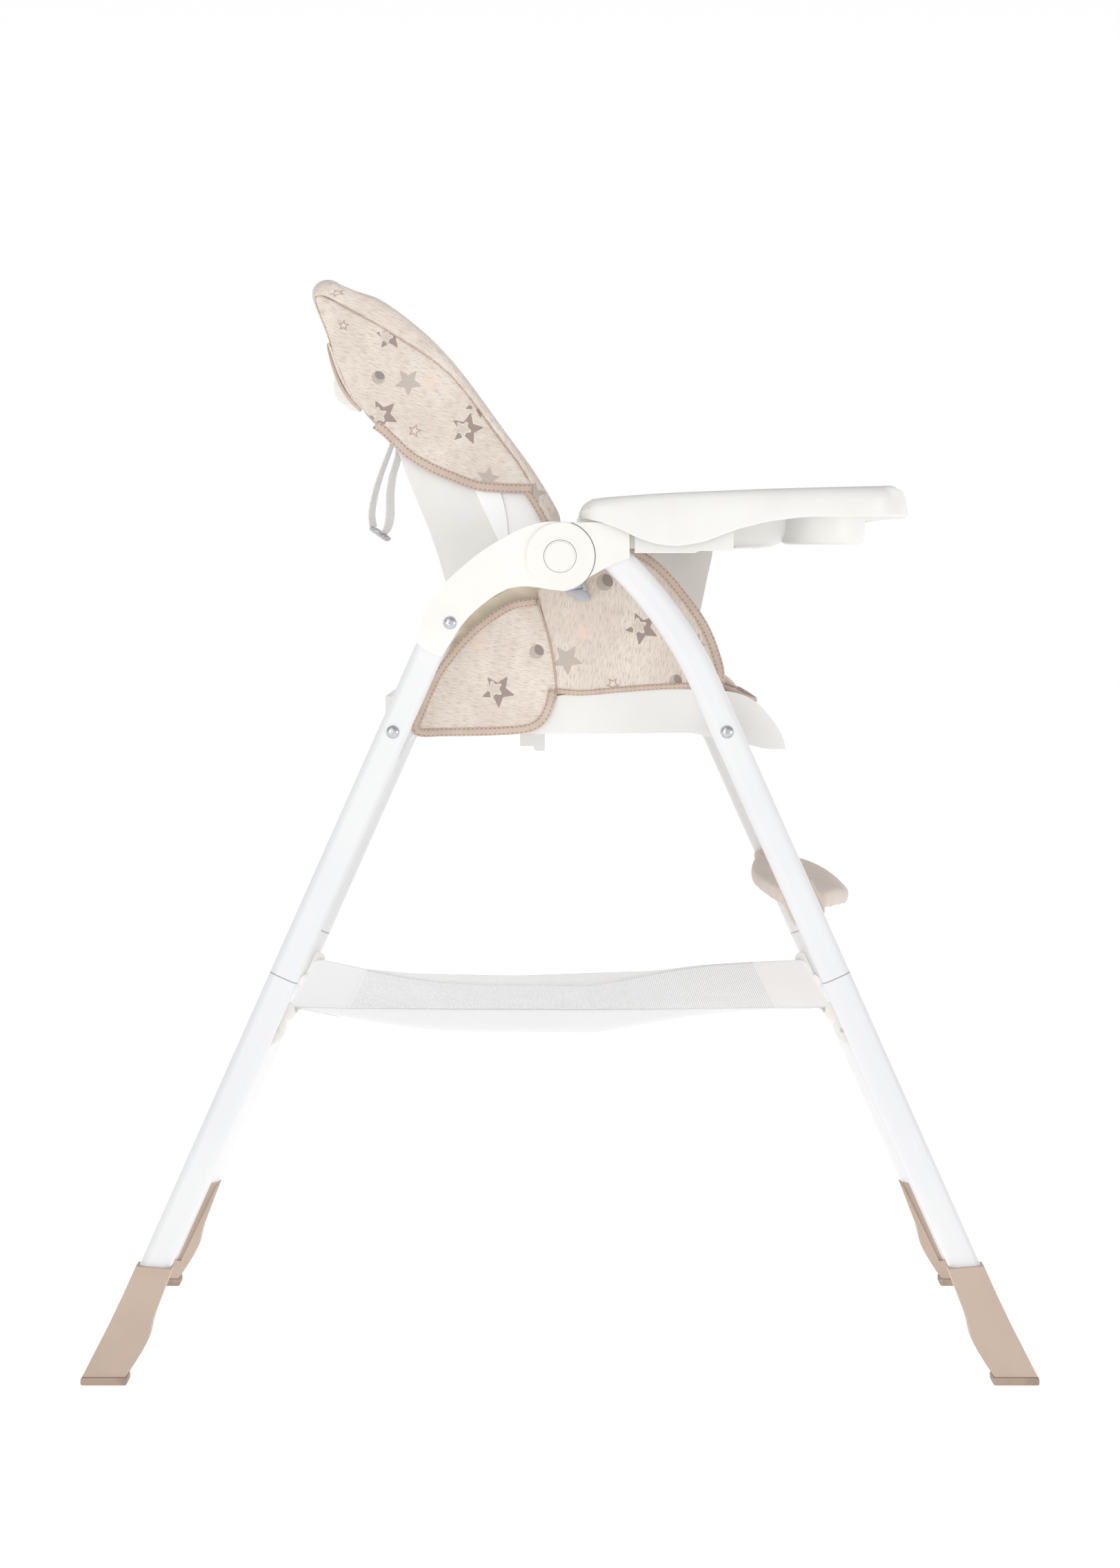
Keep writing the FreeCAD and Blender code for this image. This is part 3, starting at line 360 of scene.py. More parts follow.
def softened(node, material, width=0.0012, outer=None, outer_width=0.004):
    """A CAD node with its moulded edges rounded.  outer picks edges for a larger radius."""
    source = frame["nodes"][node]
    bm = bmesh.new()
    bm.from_mesh(source.data)
    bmesh.ops.remove_doubles(bm, verts=bm.verts, dist=2e-5)
    bmesh.ops.dissolve_limit(bm, angle_limit=math.radians(1.2), verts=bm.verts, edges=bm.edges)

    def sharp():
        return [e for e in bm.edges if len(e.link_faces) == 2 and e.calc_face_angle(0) > SHARP]

    if outer is not None:
        picked = [e for e in sharp() if outer((e.verts[0].co + e.verts[1].co) / 2)]
        bevel(bm, picked, outer_width, 5)
    bevel(bm, sharp(), width)
    mesh = bpy.data.meshes.new(node + "_moulded")
    bm.to_mesh(mesh)
    bm.free()
    obj = new_object(node + "_moulded", mesh, material, source["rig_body"], NODE_SLOT[node], 38)
    obj.modifiers.new("normals", "WEIGHTED_NORMAL").keep_sharp = True
    return settle(obj, node)


def remeshed(obj, material, voxel, rounds=0):
    """The same form in small even faces, softened by rounds of smoothing."""
    remesh = obj.modifiers.new("remesh", "REMESH")
    remesh.mode, remesh.voxel_size = "VOXEL", voxel
    if rounds:
        soften = obj.modifiers.new("soften", "SMOOTH")
        soften.factor, soften.iterations = 0.5, rounds
    bake(obj)
    clad(obj.data, material)
    return obj


NODE_SLOT = {part["node"]: part["material_slot"] for part in frame["record"]["subparts"]}


# ------------------------------------------------ material nodes
def rgb(r, g, b):
    """Linear colour from 0-255 display values."""
    return tuple((c / 255 / 12.92 if c <= 10 else ((c / 255 + 0.055) / 1.055) ** 2.4) for c in (r, g, b)) + (1.0,)


class Shader:
    """Small helper that adds linked nodes to one material or node group."""

    def __init__(self, name=None, tree=None):
        if tree is None:
            self.mat = bpy.data.materials.new(name)
            self.mat.use_nodes = True
            tree = self.mat.node_tree
            self.bsdf = tree.nodes["Principled BSDF"]
        self.tree = tree

    def put(self, socket, value):
        if isinstance(value, bpy.types.NodeSocket):
            self.tree.links.new(value, socket)
        elif value is not None:
            socket.default_value = value

    def node(self, kind, out=0, settings=None, **inputs):
        node = self.tree.nodes.new(kind)
        for key, value in (settings or {}).items():
            setattr(node, key, value)
        for key, value in inputs.items():
            self.put(node.inputs[key.replace("_", " ")], value)
        return node.outputs[out]

    def math(self, op, a, b=None):
        node = self.tree.nodes.new("ShaderNodeMath")
        node.operation = op
        for socket, value in zip(node.inputs, (a, b)):
            self.put(socket, value)
        return node.outputs[0]

    def add(self, a, b):
        return self.math("ADD", a, b)

    def sub(self, a, b):
        return self.math("SUBTRACT", a, b)

    def mul(self, a, b):
        return self.math("MULTIPLY", a, b)

    def abs(self, a):
        return self.math("ABSOLUTE", a)

    def near(self, value, at, low, high):
        """One where value is within low of at, fading to nothing at high."""
        return self.smooth(self.abs(self.sub(value, at)), low, high, 1.0, 0.0)

    def dashes(self, along, pitch, share):
        """A broken line: one over the given share of every pitch."""
        return self.math("LESS_THAN", self.math("FRACT", self.math("DIVIDE", along, pitch)), share)

    def split(self, vector):
        return self.node("ShaderNodeSeparateXYZ", 0, Vector=vector).node.outputs

    def vector(self, op, a, b=None, out=0, scale=None):
        node = self.tree.nodes.new("ShaderNodeVectorMath")
        node.operation = op
        self.put(node.inputs[0], a)
        if b is not None:
            self.put(node.inputs[1], b)
        if scale is not None:
            self.put(node.inputs["Scale"], scale)
        return node.outputs[out]

    def noise(self, vector, scale, detail=2.0, rough=0.5):
        return self.node("ShaderNodeTexNoise", 0, Vector=vector, Scale=scale, Detail=detail, Roughness=rough)

    def smooth(self, value, low, high, to_low=0.0, to_high=1.0):
        node = self.tree.nodes.new("ShaderNodeMapRange")
        node.interpolation_type = "SMOOTHSTEP"
        keys = ("Value", "From Min", "From Max", "To Min", "To Max")
        for key, v in zip(keys, (value, low, high, to_low, to_high)):
            self.put(node.inputs[key], v)
        return node.outputs[0]

    def mix(self, factor, a, b):
        node = self.tree.nodes.new("ShaderNodeMix")
        node.data_type = "RGBA"
        self.put(node.inputs["Factor"], factor)
        for key, value in ((6, a), (7, b)):
            self.put(node.inputs[key], value)
        return node.outputs[2]

    def bump(self, height, distance, strength=1.0, normal=None):
        return self.node("ShaderNodeBump", Height=height, Distance=distance, Strength=strength, Normal=normal)

    def finish(self, **sockets):
        for key, value in sockets.items():
            self.put(self.bsdf.inputs[key.replace("_", " ")], value)
        return self.mat


def object_place(s):
    return s.tree.nodes.new("ShaderNodeTexCoord").outputs["Object"]


def panel_place(s):
    node = s.tree.nodes.new("ShaderNodeUVMap")
    node.uv_map = "panel"
    return node.outputs[0]


def moulded(name, colour, shade, rough, grain=0.00006, coat=0.0, speck=0.0, front=None):
    """Moulded surface: faint cloudiness, fine grain, uneven gloss.  front paints the backrest's front face a
    brighter colour, painted light that lifts the shade falling there.
    """
    s = Shader(name)
    place = object_place(s)
    cloud = s.noise(place, 9.0, 3.0)
    colour_out = s.mix(s.smooth(cloud, 0.35, 0.7), colour, shade)
    scuff = s.noise(place, 170.0, 4.0, 0.7)
    colour_out = s.mix(s.smooth(scuff, 0.62, 0.82, 0.0, 0.35 + speck), colour_out, shade)
    # painted light: the shell's front face gets the brighter front colour to lift the shade the hood casts on it
    if front:
        x, y, z = s.split(place)
        forward = s.add(s.mul(s.sub(x, RECLINE.x), math.cos(BACK_LEAN)),
                        s.mul(s.sub(z, RECLINE.z), math.sin(BACK_LEAN)))
        colour_out = s.mix(s.smooth(forward, BACK_FACE, BACK_FACE + MM), colour_out, front)
    fine = s.noise(place, 2200.0, 2.0)
    roughness = s.smooth(s.noise(place, 35.0, 3.0), 0.3, 0.75, rough - 0.05, rough + 0.08)
    return s.finish(Base_Color=colour_out, Roughness=roughness, Coat_Weight=coat,
                    Normal=s.bump(fine, grain, 0.35))


def leg_paint():
    """Powder-coated tube with the dark hairline where the lower leg plugs in."""
    s = Shader("white_powder_coat")
    place = object_place(s)
    x, y, z = s.split(place)
    along = s.sub(s.mul(s.sub(z, KNEE[1]), math.cos(LEAN)), s.mul(s.sub(s.abs(x), KNEE[0]), math.sin(LEAN)))
    seam = s.smooth(s.abs(along), 0.0003, 0.0008, 1.0, 0.0)
    cloud = s.noise(place, 6.0, 2.0)
    colour = s.mix(s.smooth(cloud, 0.35, 0.7), rgb(229, 229, 229), rgb(225, 225, 226))
    colour = s.mix(s.mul(seam, 0.65), colour, rgb(120, 120, 122))
    peel = s.noise(place, 700.0, 1.0)
    roughness = s.smooth(s.noise(place, 20.0, 1.0), 0.3, 0.7, 0.34, 0.40)
    return s.finish(Base_Color=colour, Roughness=roughness, Coat_Weight=0.15, Coat_Roughness=0.2,
                    Normal=s.bump(peel, 0.00001, 0.2))


def metal(name, colour, rough):
    s = Shader(name)
    place = object_place(s)
    scratch = s.noise(s.vector("MULTIPLY", place, (900.0, 120.0, 900.0)), 1.0, 3.0)
    dark = tuple(c * 0.8 for c in colour[:3]) + (1,)
    return s.finish(Base_Color=s.mix(s.smooth(scratch, 0.4, 0.7), colour, dark), Metallic=1.0,
                    Roughness=s.smooth(scratch, 0.3, 0.7, rough, rough + 0.1))


def rubber():
    s = Shader("sole_rubber")
    place = object_place(s)
    ribs = s.node("ShaderNodeTexWave", 0, {"bands_direction": "X"}, Vector=place, Scale=60.0, Distortion=0.3)
    colour = s.mix(s.smooth(s.noise(place, 50.0, 4.0), 0.4, 0.7), rgb(170, 150, 134), rgb(150, 132, 118))
    return s.finish(Base_Color=colour, Roughness=0.8, Normal=s.bump(ribs, 0.0005, 0.4))


# ------------------------------------------------ cloth materials
def star_group():
    """Signed distance, in metres, to a soft five-pointed star."""
    tree = bpy.data.node_groups.new("star_distance", "ShaderNodeTree")
    for name, kind in (("Vector", "NodeSocketVector"), ("Centre", "NodeSocketVector"), ("Turn", "NodeSocketFloat"),
                       ("Size", "NodeSocketFloat")):
        tree.interface.new_socket(name, in_out="INPUT", socket_type=kind)
    tree.interface.new_socket("Distance", in_out="OUTPUT", socket_type="NodeSocketFloat")
    s = Shader(tree=tree)
    given = tree.nodes.new("NodeGroupInput")
    taken = tree.nodes.new("NodeGroupOutput")
    offset = s.vector("SUBTRACT", given.outputs["Vector"], given.outputs["Centre"])
    x, y, z = s.split(offset)
    reach = s.math("SQRT", s.add(s.mul(x, x), s.mul(y, y)))
    angle = s.add(s.math("ARCTAN2", y, x), given.outputs["Turn"])
    fifth = math.tau / 5
    part = s.math("FRACT", s.add(s.math("DIVIDE", angle, fifth), 10.0))
    from_tip = s.sub(fifth / 2, s.mul(s.abs(s.sub(part, 0.5)), fifth))
    along = s.mul(reach, s.math("COSINE", from_tip))
    aside = s.mul(reach, s.math("SINE", from_tip))
    inner, tip = 0.46, 0.93  # radius of the notches and of the rounded points, as shares of the size
    nx, ny = inner * math.sin(fifth / 2), 1 - inner * math.cos(fifth / 2)
    scale = math.hypot(nx, ny)
    edge = s.sub(s.add(s.mul(along, nx / scale), s.mul(aside, ny / scale)),
                 s.mul(given.outputs["Size"], nx / scale))
    blunt = s.sub(reach, s.mul(given.outputs["Size"], tip))
    s.tree.links.new(s.math("MAXIMUM", edge, blunt), taken.inputs[0])
    return tree


STAR = star_group()
TAUPE_INK, PALE_INK, GREY_INK = rgb(150, 134, 128), rgb(196, 184, 174), rgb(182, 171, 162)
PEACH_INK, CRESCENT_INK = rgb(238, 208, 190), rgb(135, 126, 120)


def star(s, place, centre, turn, size):
    node = s.tree.nodes.new("ShaderNodeGroup")
    node.node_tree = STAR
    for key, value in (("Vector", place), ("Centre", centre), ("Turn", turn), ("Size", size)):
        s.put(node.inputs[key], value)
    return node.outputs[0]


def ink(s, distance, soft=0.0003):
    return s.smooth(distance, -soft, soft, 1.0, 0.0)


def shifted(s, centre, dx, dy):
    if isinstance(centre, tuple):
        return (centre[0] + dx, centre[1] + dy, 0.0)
    return s.vector("ADD", centre, (dx, dy, 0.0))


def print_figure(s, colour, place, kind, centre, size, turn, amount=1.0):
    """Lay one printed figure over the cloth colour."""
    def over(mask, paint, strength):
        nonlocal colour
        factor = s.mul(mask, strength)
        if not isinstance(amount, float):
            factor = s.mul(factor, amount)
        colour = s.mix(factor, colour, paint)

    if kind == "two":
        small = shifted(s, centre, -0.24 * size, 0.10 * size)
        big_mask = ink(s, star(s, place, centre, turn, size * 1.05))
        pale = star(s, place, small, turn + 0.35, size * 0.47)
        clear = ink(s, s.sub(pale, 0.0012))
        over(s.mul(big_mask, s.sub(1.0, clear)), TAUPE_INK, 0.92)
        over(ink(s, pale), PALE_INK, 0.5)
    elif kind == "dot":
        away = s.vector("DISTANCE", place, centre, out=1)
        whole = ink(s, s.sub(away, size))
        over(whole, GREY_INK, 0.85)
        bite = s.vector("DISTANCE", place, shifted(s, centre, 0.55 * size, 0.35 * size), out=1)
        over(s.mul(whole, ink(s, s.sub(bite, size * 0.85))), CRESCENT_INK, 0.8)
    elif kind == "line":
        mask = star(s, place, centre, turn, size)
        over(ink(s, s.sub(s.abs(s.add(mask, 0.0006)), 0.0006)), TAUPE_INK, 0.7)
        over(ink(s, s.add(mask, 0.0012)), PEACH_INK, 0.7)
    else:
        paint, strength = {"grey": (GREY_INK, 0.8), "peach": (PEACH_INK, 0.38)}[kind]
        over(ink(s, star(s, place, centre, turn, size)), paint, strength)
    return colour


def scatter(s, colour, place, cell, seed):
    """Figures scattered one to a cell over the cloth."""
    moved = s.vector("ADD", place, (seed * 0.37, seed * 0.23, 0.0))
    tiles = s.vector("SCALE", moved, scale=1.0 / cell)
    index = s.vector("FLOOR", tiles)
    local = s.vector("SCALE", s.vector("SUBTRACT", s.vector("SUBTRACT", tiles, index), (0.5, 0.5, 0.0)), scale=cell)
    local = s.vector("MULTIPLY", local, (1.0, 1.0, 0.0))
    dice = s.tree.nodes.new("ShaderNodeTexWhiteNoise")
    dice.noise_dimensions = "3D"
    s.put(dice.inputs["Vector"], index)
    wander = s.vector("SCALE", s.vector("SUBTRACT", dice.outputs["Color"], (0.5, 0.5, 0.5)), scale=cell * 0.42)
    wander = s.vector("MULTIPLY", wander, (1.0, 1.0, 0.0))
    turn = s.mul(dice.outputs["Value"], 40.0)
    pick = dice.outputs["Value"]
    for low, high, kind, size, spin in ((0.0, 0.3, "two", 0.0145, 0.3), (0.3, 0.52, "grey", 0.0135, turn),
                                        (0.52, 0.68, "peach", 0.011, turn), (0.68, 0.84, "dot", 0.0055, 0.3),
                                        (0.84, 0.95, "line", 0.0065, 0.3)):
        chosen = s.mul(s.math("GREATER_THAN", pick, low), s.math("LESS_THAN", pick, high))
        colour = print_figure(s, colour, local, kind, wander, size, spin, chosen)
    return colour


def cloth_colour(s, place, turn):
    """Heathered knit: short fine streaks along one direction."""
    rotated = s.node("ShaderNodeVectorRotate", 0, {"rotation_type": "Z_AXIS"}, Vector=place, Angle=turn)
    fine = s.noise(s.vector("MULTIPLY", rotated, (1500.0, 120.0, 400.0)), 1.0, 2.0, 0.6)
    broad = s.noise(s.vector("MULTIPLY", rotated, (760.0, 60.0, 120.0)), 1.0, 2.0, 0.5)
    cloud = s.noise(place, 22.0, 2.0)
    colour = s.mix(s.smooth(cloud, 0.35, 0.65), rgb(228, 217, 206), rgb(219, 206, 194))
    colour = s.mix(s.smooth(fine, 0.50, 0.66, 0.0, 0.75), colour, rgb(188, 172, 160))
    colour = s.mix(s.smooth(broad, 0.52, 0.70, 0.0, 0.4), colour, rgb(192, 177, 165))
    colour = s.mix(s.smooth(fine, 0.28, 0.42, 0.6, 0.0), colour, rgb(238, 227, 216))
    return colour, fine


def printed_cloth(name, figures=(), turn=0.0, cell=0.0, seed=1.0, on_object=None):
    """Heathered cloth with its printed figures, laid out in panel or object space."""
    s = Shader(name)
    if on_object:
        xyz = s.split(object_place(s))
        place = s.node("ShaderNodeCombineXYZ", X=xyz[on_object[0]], Y=xyz[on_object[1]])
    else:
        place = panel_place(s)
    colour, thread = cloth_colour(s, place, turn)
    if cell:
        colour = scatter(s, colour, place, cell, seed)
    for kind, x, y, size, spin in figures:
        colour = print_figure(s, colour, place, kind, (x * MM, y * MM, 0.0), size * MM, spin)
    weave = s.noise(place, 1500.0, 1.0)
    crease = s.noise(place, 38.0, 2.0)
    normal = s.bump(crease, 0.0016, 0.25)
    normal = s.bump(s.add(weave, thread), 0.00022, 0.5, normal)
    return s.finish(Base_Color=colour, Roughness=0.85, Sheen_Weight=0.25, Sheen_Roughness=0.5, Normal=normal)


def binding_cloth():
    """Woven edge tape with rows of stitches near its edges."""
    s = Shader("taupe_binding")
    place = panel_place(s)
    u, v, w = s.split(place)
    twill = s.noise(s.vector("MULTIPLY", place, (1400.0, 60.0, 1.0)), 1.0, 1.0)
    shade = s.noise(object_place(s), 60.0, 3.0)
    colour = s.mix(s.smooth(shade, 0.35, 0.7), rgb(207, 187, 172), rgb(198, 177, 162))
    colour = s.mix(s.smooth(twill, 0.45, 0.65, 0.0, 0.35), colour, rgb(184, 162, 148))
    rows = [s.near(v, at, 0.012, 0.024) for at in STITCH_ROWS]
    thread = s.mul(s.dashes(u, 0.0042, 0.55), s.math("MAXIMUM", *rows))
    colour = s.mix(s.mul(thread, 0.75), colour, rgb(140, 116, 102))
    return s.finish(Base_Color=colour, Roughness=0.75, Sheen_Weight=0.2,
                    Normal=s.bump(s.sub(twill, thread), 0.0003, 0.5))


def webbing(name, colour, shade):
    s = Shader(name)
    place = object_place(s)
    ribs = [s.node("ShaderNodeTexWave", 0, {"bands_direction": way, "wave_profile": form}, Vector=place,
                   Scale=scale)
            for way, form, scale in (("Z", "TRI", 260.0), ("Y", "SIN", 160.0))]
    both = s.add(*ribs)
    # painted shade: the hollows between the ribs take the darker shade colour
    tint = s.mix(s.smooth(both, 0.3, 1.6), shade, colour)
    tint = s.mix(s.smooth(s.noise(place, 80.0, 3.0), 0.4, 0.7, 0.0, 0.3), tint, shade)
    # painted light: the webbing glows faintly in its own colour, to brighten straps that lie in shade
    return s.finish(Base_Color=tint, Roughness=0.8, Sheen_Weight=0.2, Normal=s.bump(both, 0.0003, 0.5),
                    Emission_Color=tint, Emission_Strength=0.15)


def basket_mesh():
    """White net in the middle of the sling, plain cloth along its ends and rims; light comes through its holes.
    The walls carry painted shade, and the rest glows faintly with painted light, more on the plain cloth.
    """
    s = Shader("basket_cloth")
    place = panel_place(s)
    u, v, w = s.split(place)
    ends = s.smooth(s.abs(v), NET_END, NET_END + 0.0015)
    rims = s.smooth(s.abs(u), BASKET_RIM - 0.030, BASKET_RIM - 0.029)
    solid = s.math("MAXIMUM", ends, rims)
    cells = s.node("ShaderNodeTexVoronoi", 0, {"feature": "DISTANCE_TO_EDGE"}, Vector=place, Scale=520.0,
                   Randomness=0.15)
    thread = s.smooth(cells, 0.10, 0.2, 1.0, 0.35)
    alpha = s.math("MAXIMUM", solid, thread)
    colour = s.mix(solid, rgb(243, 243, 243), rgb(238, 238, 238))
    # painted shade: the side walls are darkened towards rgb(223, 223, 222), fully on their outer faces and about
    # half on their inner faces
    facing = s.split(s.tree.nodes.new("ShaderNodeNewGeometry").outputs["Normal"])[1]
    outside = s.math("GREATER_THAN", s.mul(facing, u), 0.0)
    fold = FLOOR_HALF * MM
    wall = s.mul(s.smooth(outside, 0.0, 1.0, 0.45, 1.0), s.smooth(s.abs(u), fold - 0.0005, fold + 0.0015))
    colour = s.mix(wall, colour, rgb(223, 223, 222))
    stitch = s.mul(s.dashes(u, 0.004, 0.5), s.near(s.abs(v), NET_END + 0.0035, 0.0004, 0.0009))
    colour = s.mix(s.mul(stitch, 0.5), colour, rgb(200, 198, 195))
    crease = s.noise(place, 26.0, 3.0)
    normal = s.bump(crease, 0.003, 0.35)
    # painted light: everything but the walls glows faintly white, more on the plain cloth than on the net
    return s.finish(Base_Color=colour, Roughness=0.8, Alpha=alpha, Sheen_Weight=0.2, Normal=normal,
                    Emission_Color=rgb(255, 255, 255),
                    Emission_Strength=s.mul(s.sub(1.0, wall), s.add(0.09, s.mul(solid, 0.16))))


STITCH_ROWS = (0.17, 0.33)  # where an edge tape's stitches lie, as shares of its section
BACK_FACE = 0.0615  # how far in front of the recline axis the shell's front face starts
FLOOR_HALF, WALL_RUN = 217.0, 29.5  # basket sling in millimetres: half its floor, one side wall
BASKET_RIM = (FLOOR_HALF + WALL_RUN) * MM
NET_END = 0.203  # the netting ends here, along the pattern; plain cloth follows
LEAN, BACK_LEAN = math.radians(24), math.radians(25)
RECLINE = Vector(JOINTS["recline"]["pos_m"])
PIVOT = Vector(JOINTS["seat_pivot"]["pos_m"])
HUB = Vector(JOINTS["fold"]["pos_m"])
KNEE_HEIGHT = 0.379
KNEE = (PIVOT.x + (PIVOT.z - KNEE_HEIGHT) * math.tan(LEAN), KNEE_HEIGHT)

PAINT = leg_paint()
WHITE = moulded("white_moulded", rgb(231, 230, 226), rgb(225, 223, 218), 0.34, coat=0.15)
CREAM = moulded("cream_moulded", rgb(238, 236, 231), rgb(232, 229, 222), 0.38, coat=0.1)
# SHELL's front colour is painted light: a brighter front face where the hood's shade falls
SHELL = moulded("shell_moulded", rgb(234, 233, 229), rgb(228, 226, 221), 0.42, grain=0.0001,
                front=rgb(251, 251, 250))
STEP_TAUPE = moulded("step_moulded", rgb(214, 199, 187), rgb(207, 191, 178), 0.5, grain=0.00012, speck=0.1)
TAUPE = moulded("taupe_moulded", rgb(190, 170, 154), rgb(180, 159, 143), 0.5, grain=0.00012, speck=0.15)
GREY = moulded("grey_moulded", rgb(196, 198, 203), rgb(182, 184, 190), 0.4)
CHROME = metal("chrome", (0.58, 0.58, 0.60, 1), 0.10)
STEEL = metal("steel", (0.72, 0.72, 0.72, 1), 0.25)
RUBBER = rubber()
BIND = binding_cloth()
WEB = webbing("grey_webbing", rgb(234, 233, 231), rgb(208, 206, 204))


# ------------------------------------------------ stage, light and camera
CAMERA_DISTANCE, CAMERA_HEIGHT, FOCAL_LENGTH = 3.847, 0.758, 88.2


def stage():
    """A white floor, four lights and the camera."""
    size, lines = 40.0, 9
    steps = [-size / 2 + size * i / lines for i in range(lines + 1)]
    rows = [[Vector((x, y, -0.0006)) for x in steps] for y in steps]
    s = Shader("studio_floor")
    place = object_place(s)
    tint = s.mix(s.noise(place, 3.0, 2.0), rgb(252, 252, 252), rgb(250, 250, 250))
    floor = grid("floor", rows, s.finish(Base_Color=tint, Roughness=0.9, Emission_Color=rgb(255, 255, 255),
                                         Emission_Strength=0.5), "", "")
    del floor["body"], floor["slot"]
    world = bpy.data.worlds.new("studio")
    scene.world = world
    world.use_nodes = True
    s = Shader(tree=world.node_tree)
    back = world.node_tree.nodes["Background"]
    up = s.split(world.node_tree.nodes.new("ShaderNodeTexCoord").outputs["Generated"])[2]
    s.put(back.inputs[0], s.mix(s.smooth(up, 0.12, 0.5), rgb(255, 255, 255), rgb(196, 197, 199)))
    back.inputs[1].default_value = 1.0
    middle = (CAD_LOW + CAD_HIGH) / 2
    for name, kind, where, width, power in (("key", "SUN", (-1.5, -2.2, 3.0), 0.7, 0.22),
                                            ("front", "AREA", (-1.4, -3.3, 0.8), 2.4, 19.0),
                                            ("fill", "AREA", (2.7, -1.9, 0.25), 1.6, 15.0),
                                            ("rim", "AREA", (2.4, 2.6, 2.2), 1.8, 8.0)):
        data = bpy.data.lights.new(name, kind)
        data.energy = power
        if kind == "SUN":
            data.angle = width
        else:
            data.shape, data.size = "SQUARE", width
        light = bpy.data.objects.new(name, data)
        light.location = where
        light.rotation_euler = (middle - Vector(where)).to_track_quat("-Z", "Y").to_euler()
        scene.collection.objects.link(light)
    data = bpy.data.cameras.new("camera")
    data.sensor_width, data.lens, data.shift_y = 36.0, FOCAL_LENGTH, -0.135
    data.clip_end = 100.0
    camera = bpy.data.objects.new("camera", data)
    camera.location = (0.0, -CAMERA_DISTANCE, CAMERA_HEIGHT)
    camera.rotation_euler = (math.pi / 2, 0.0, 0.0)
    scene.collection.objects.link(camera)
    scene.camera = camera


stage()


# ------------------------------------------------ CAD nodes that keep their own shape
def paint(material, *names):
    for name in names:
        obj = frame["nodes"][name]
        if not obj.material_slots:
            obj.data.materials.append(material)
        for place in obj.material_slots:
            place.material = material


SIDES = (("left", 1), ("right", -1))
for side, sign in SIDES:
    for end in ("front", "rear"):
        paint(PAINT, f"{end}_leg_upper_{side}", f"{end}_leg_lower_{side}")
        paint(STEEL, f"{end}_lock_button_{side}")
paint(PAINT, "front_cross_tube", "rear_cross_tube")
paint(RUBBER, "front_soles", "rear_soles")
paint(STEEL, "hub_axles", "basket_rod_front", "basket_rod_rear", "recline_pins")
paint(CHROME, "basket_screws_front", "basket_screws_rear", "front_rivets", "rear_rivets")


# ------------------------------------------------ moulded parts with rounded edges
HUB_STEP = 0.0325  # radius of the step round the hub's button
for side, sign in SIDES:
    def outer_face(c):
        """Outer edges of an arm, apart from the round step at its hub."""
        return (c.y * sign > 0.2655 and c.z > 0.67 and c.x < 0.07
                and abs(math.hypot(c.x - HUB.x, c.z - HUB.z) - HUB_STEP) > 0.003)

    def sole_edge(c):
        return c.y * sign > 0.263 or (c.y * sign < 0.24 and c.z < 0.1)

    arm = softened(f"rear_arm_{side}", CREAM, 0.0007, outer=outer_face, outer_width=0.005)
    for v in arm.data.vertices:
        away = Vector((v.co.x - HUB.x, 0, v.co.z - HUB.z))
        if HUB_STEP - 0.002 < away.length < HUB_STEP + 0.0001 and v.co.x > 0.002:
            v.co += away.normalized() * 0.0006
    softened(f"front_arm_{side}", CREAM, 0.0007, outer=outer_face, outer_width=0.005)
    softened(f"seat_side_{side}", SHELL, 0.0012)
    softened(f"fold_button_{side}", CREAM, 0.0008)
    for end in ("front", "rear"):
        softened(f"{end}_foot_{side}", TAUPE, 0.0008, outer=sole_edge, outer_width=0.003)
softened("basket_clips_front", CREAM, 0.0008)
softened("basket_clips_rear", CREAM, 0.0008)
softened("seat_pan", WHITE, outer=lambda c: abs(c.y) > 0.1955 and c.z > 0.6)
softened("tray_sleeves", WHITE, 0.0008)
softened("tray_release_lever", WHITE, 0.0015)
softened("crotch_post", CREAM, 0.0015, outer=lambda c: abs(c.y) > 0.0205 and c.z < 0.775)
step = frame["nodes"]["footrest"]
step = new_object("footrest_moulded", step.data.copy(), STEP_TAUPE, step["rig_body"], NODE_SLOT["footrest"])
settle(remeshed(step, STEP_TAUPE, 0.0022, 20), "footrest")
softened("backrest_shell", SHELL, 0.0010)
softened("recline_handle", CREAM, 0.0025)
softened("buckle", GREY, 0.0012)
softened("buckle_button", TAUPE, 0.0010)


# ------------------------------------------------ rivets
def rivets():
    """Domed rivet heads with a small dimple, on the outer faces of the legs."""
    dome = [(0.0, 0.0026), (0.0009, 0.0026), (0.0014, 0.0031), (0.0024, 0.0031), (0.0041, 0.0025), (0.0054, 0.0014),
            (0.0061, 0.0002), (0.0061, -0.0008)]
    for end, places in (("front", [(PIVOT.x, PIVOT.z, 0.2610)]),
                        ("rear", [(-PIVOT.x, PIVOT.z, 0.2610), (-0.1024, 0.711, 0.2680)])):
        made = [lathe("rivet", (x, y * sign, z), (0, sign, 0), dome, CHROME, end + "_frame", "chrome_metal")
                for x, z, y in places for sign in (1, -1)]
        settle(joined(f"{end}_rivet_heads", *made), f"{end}_rivets")


rivets()


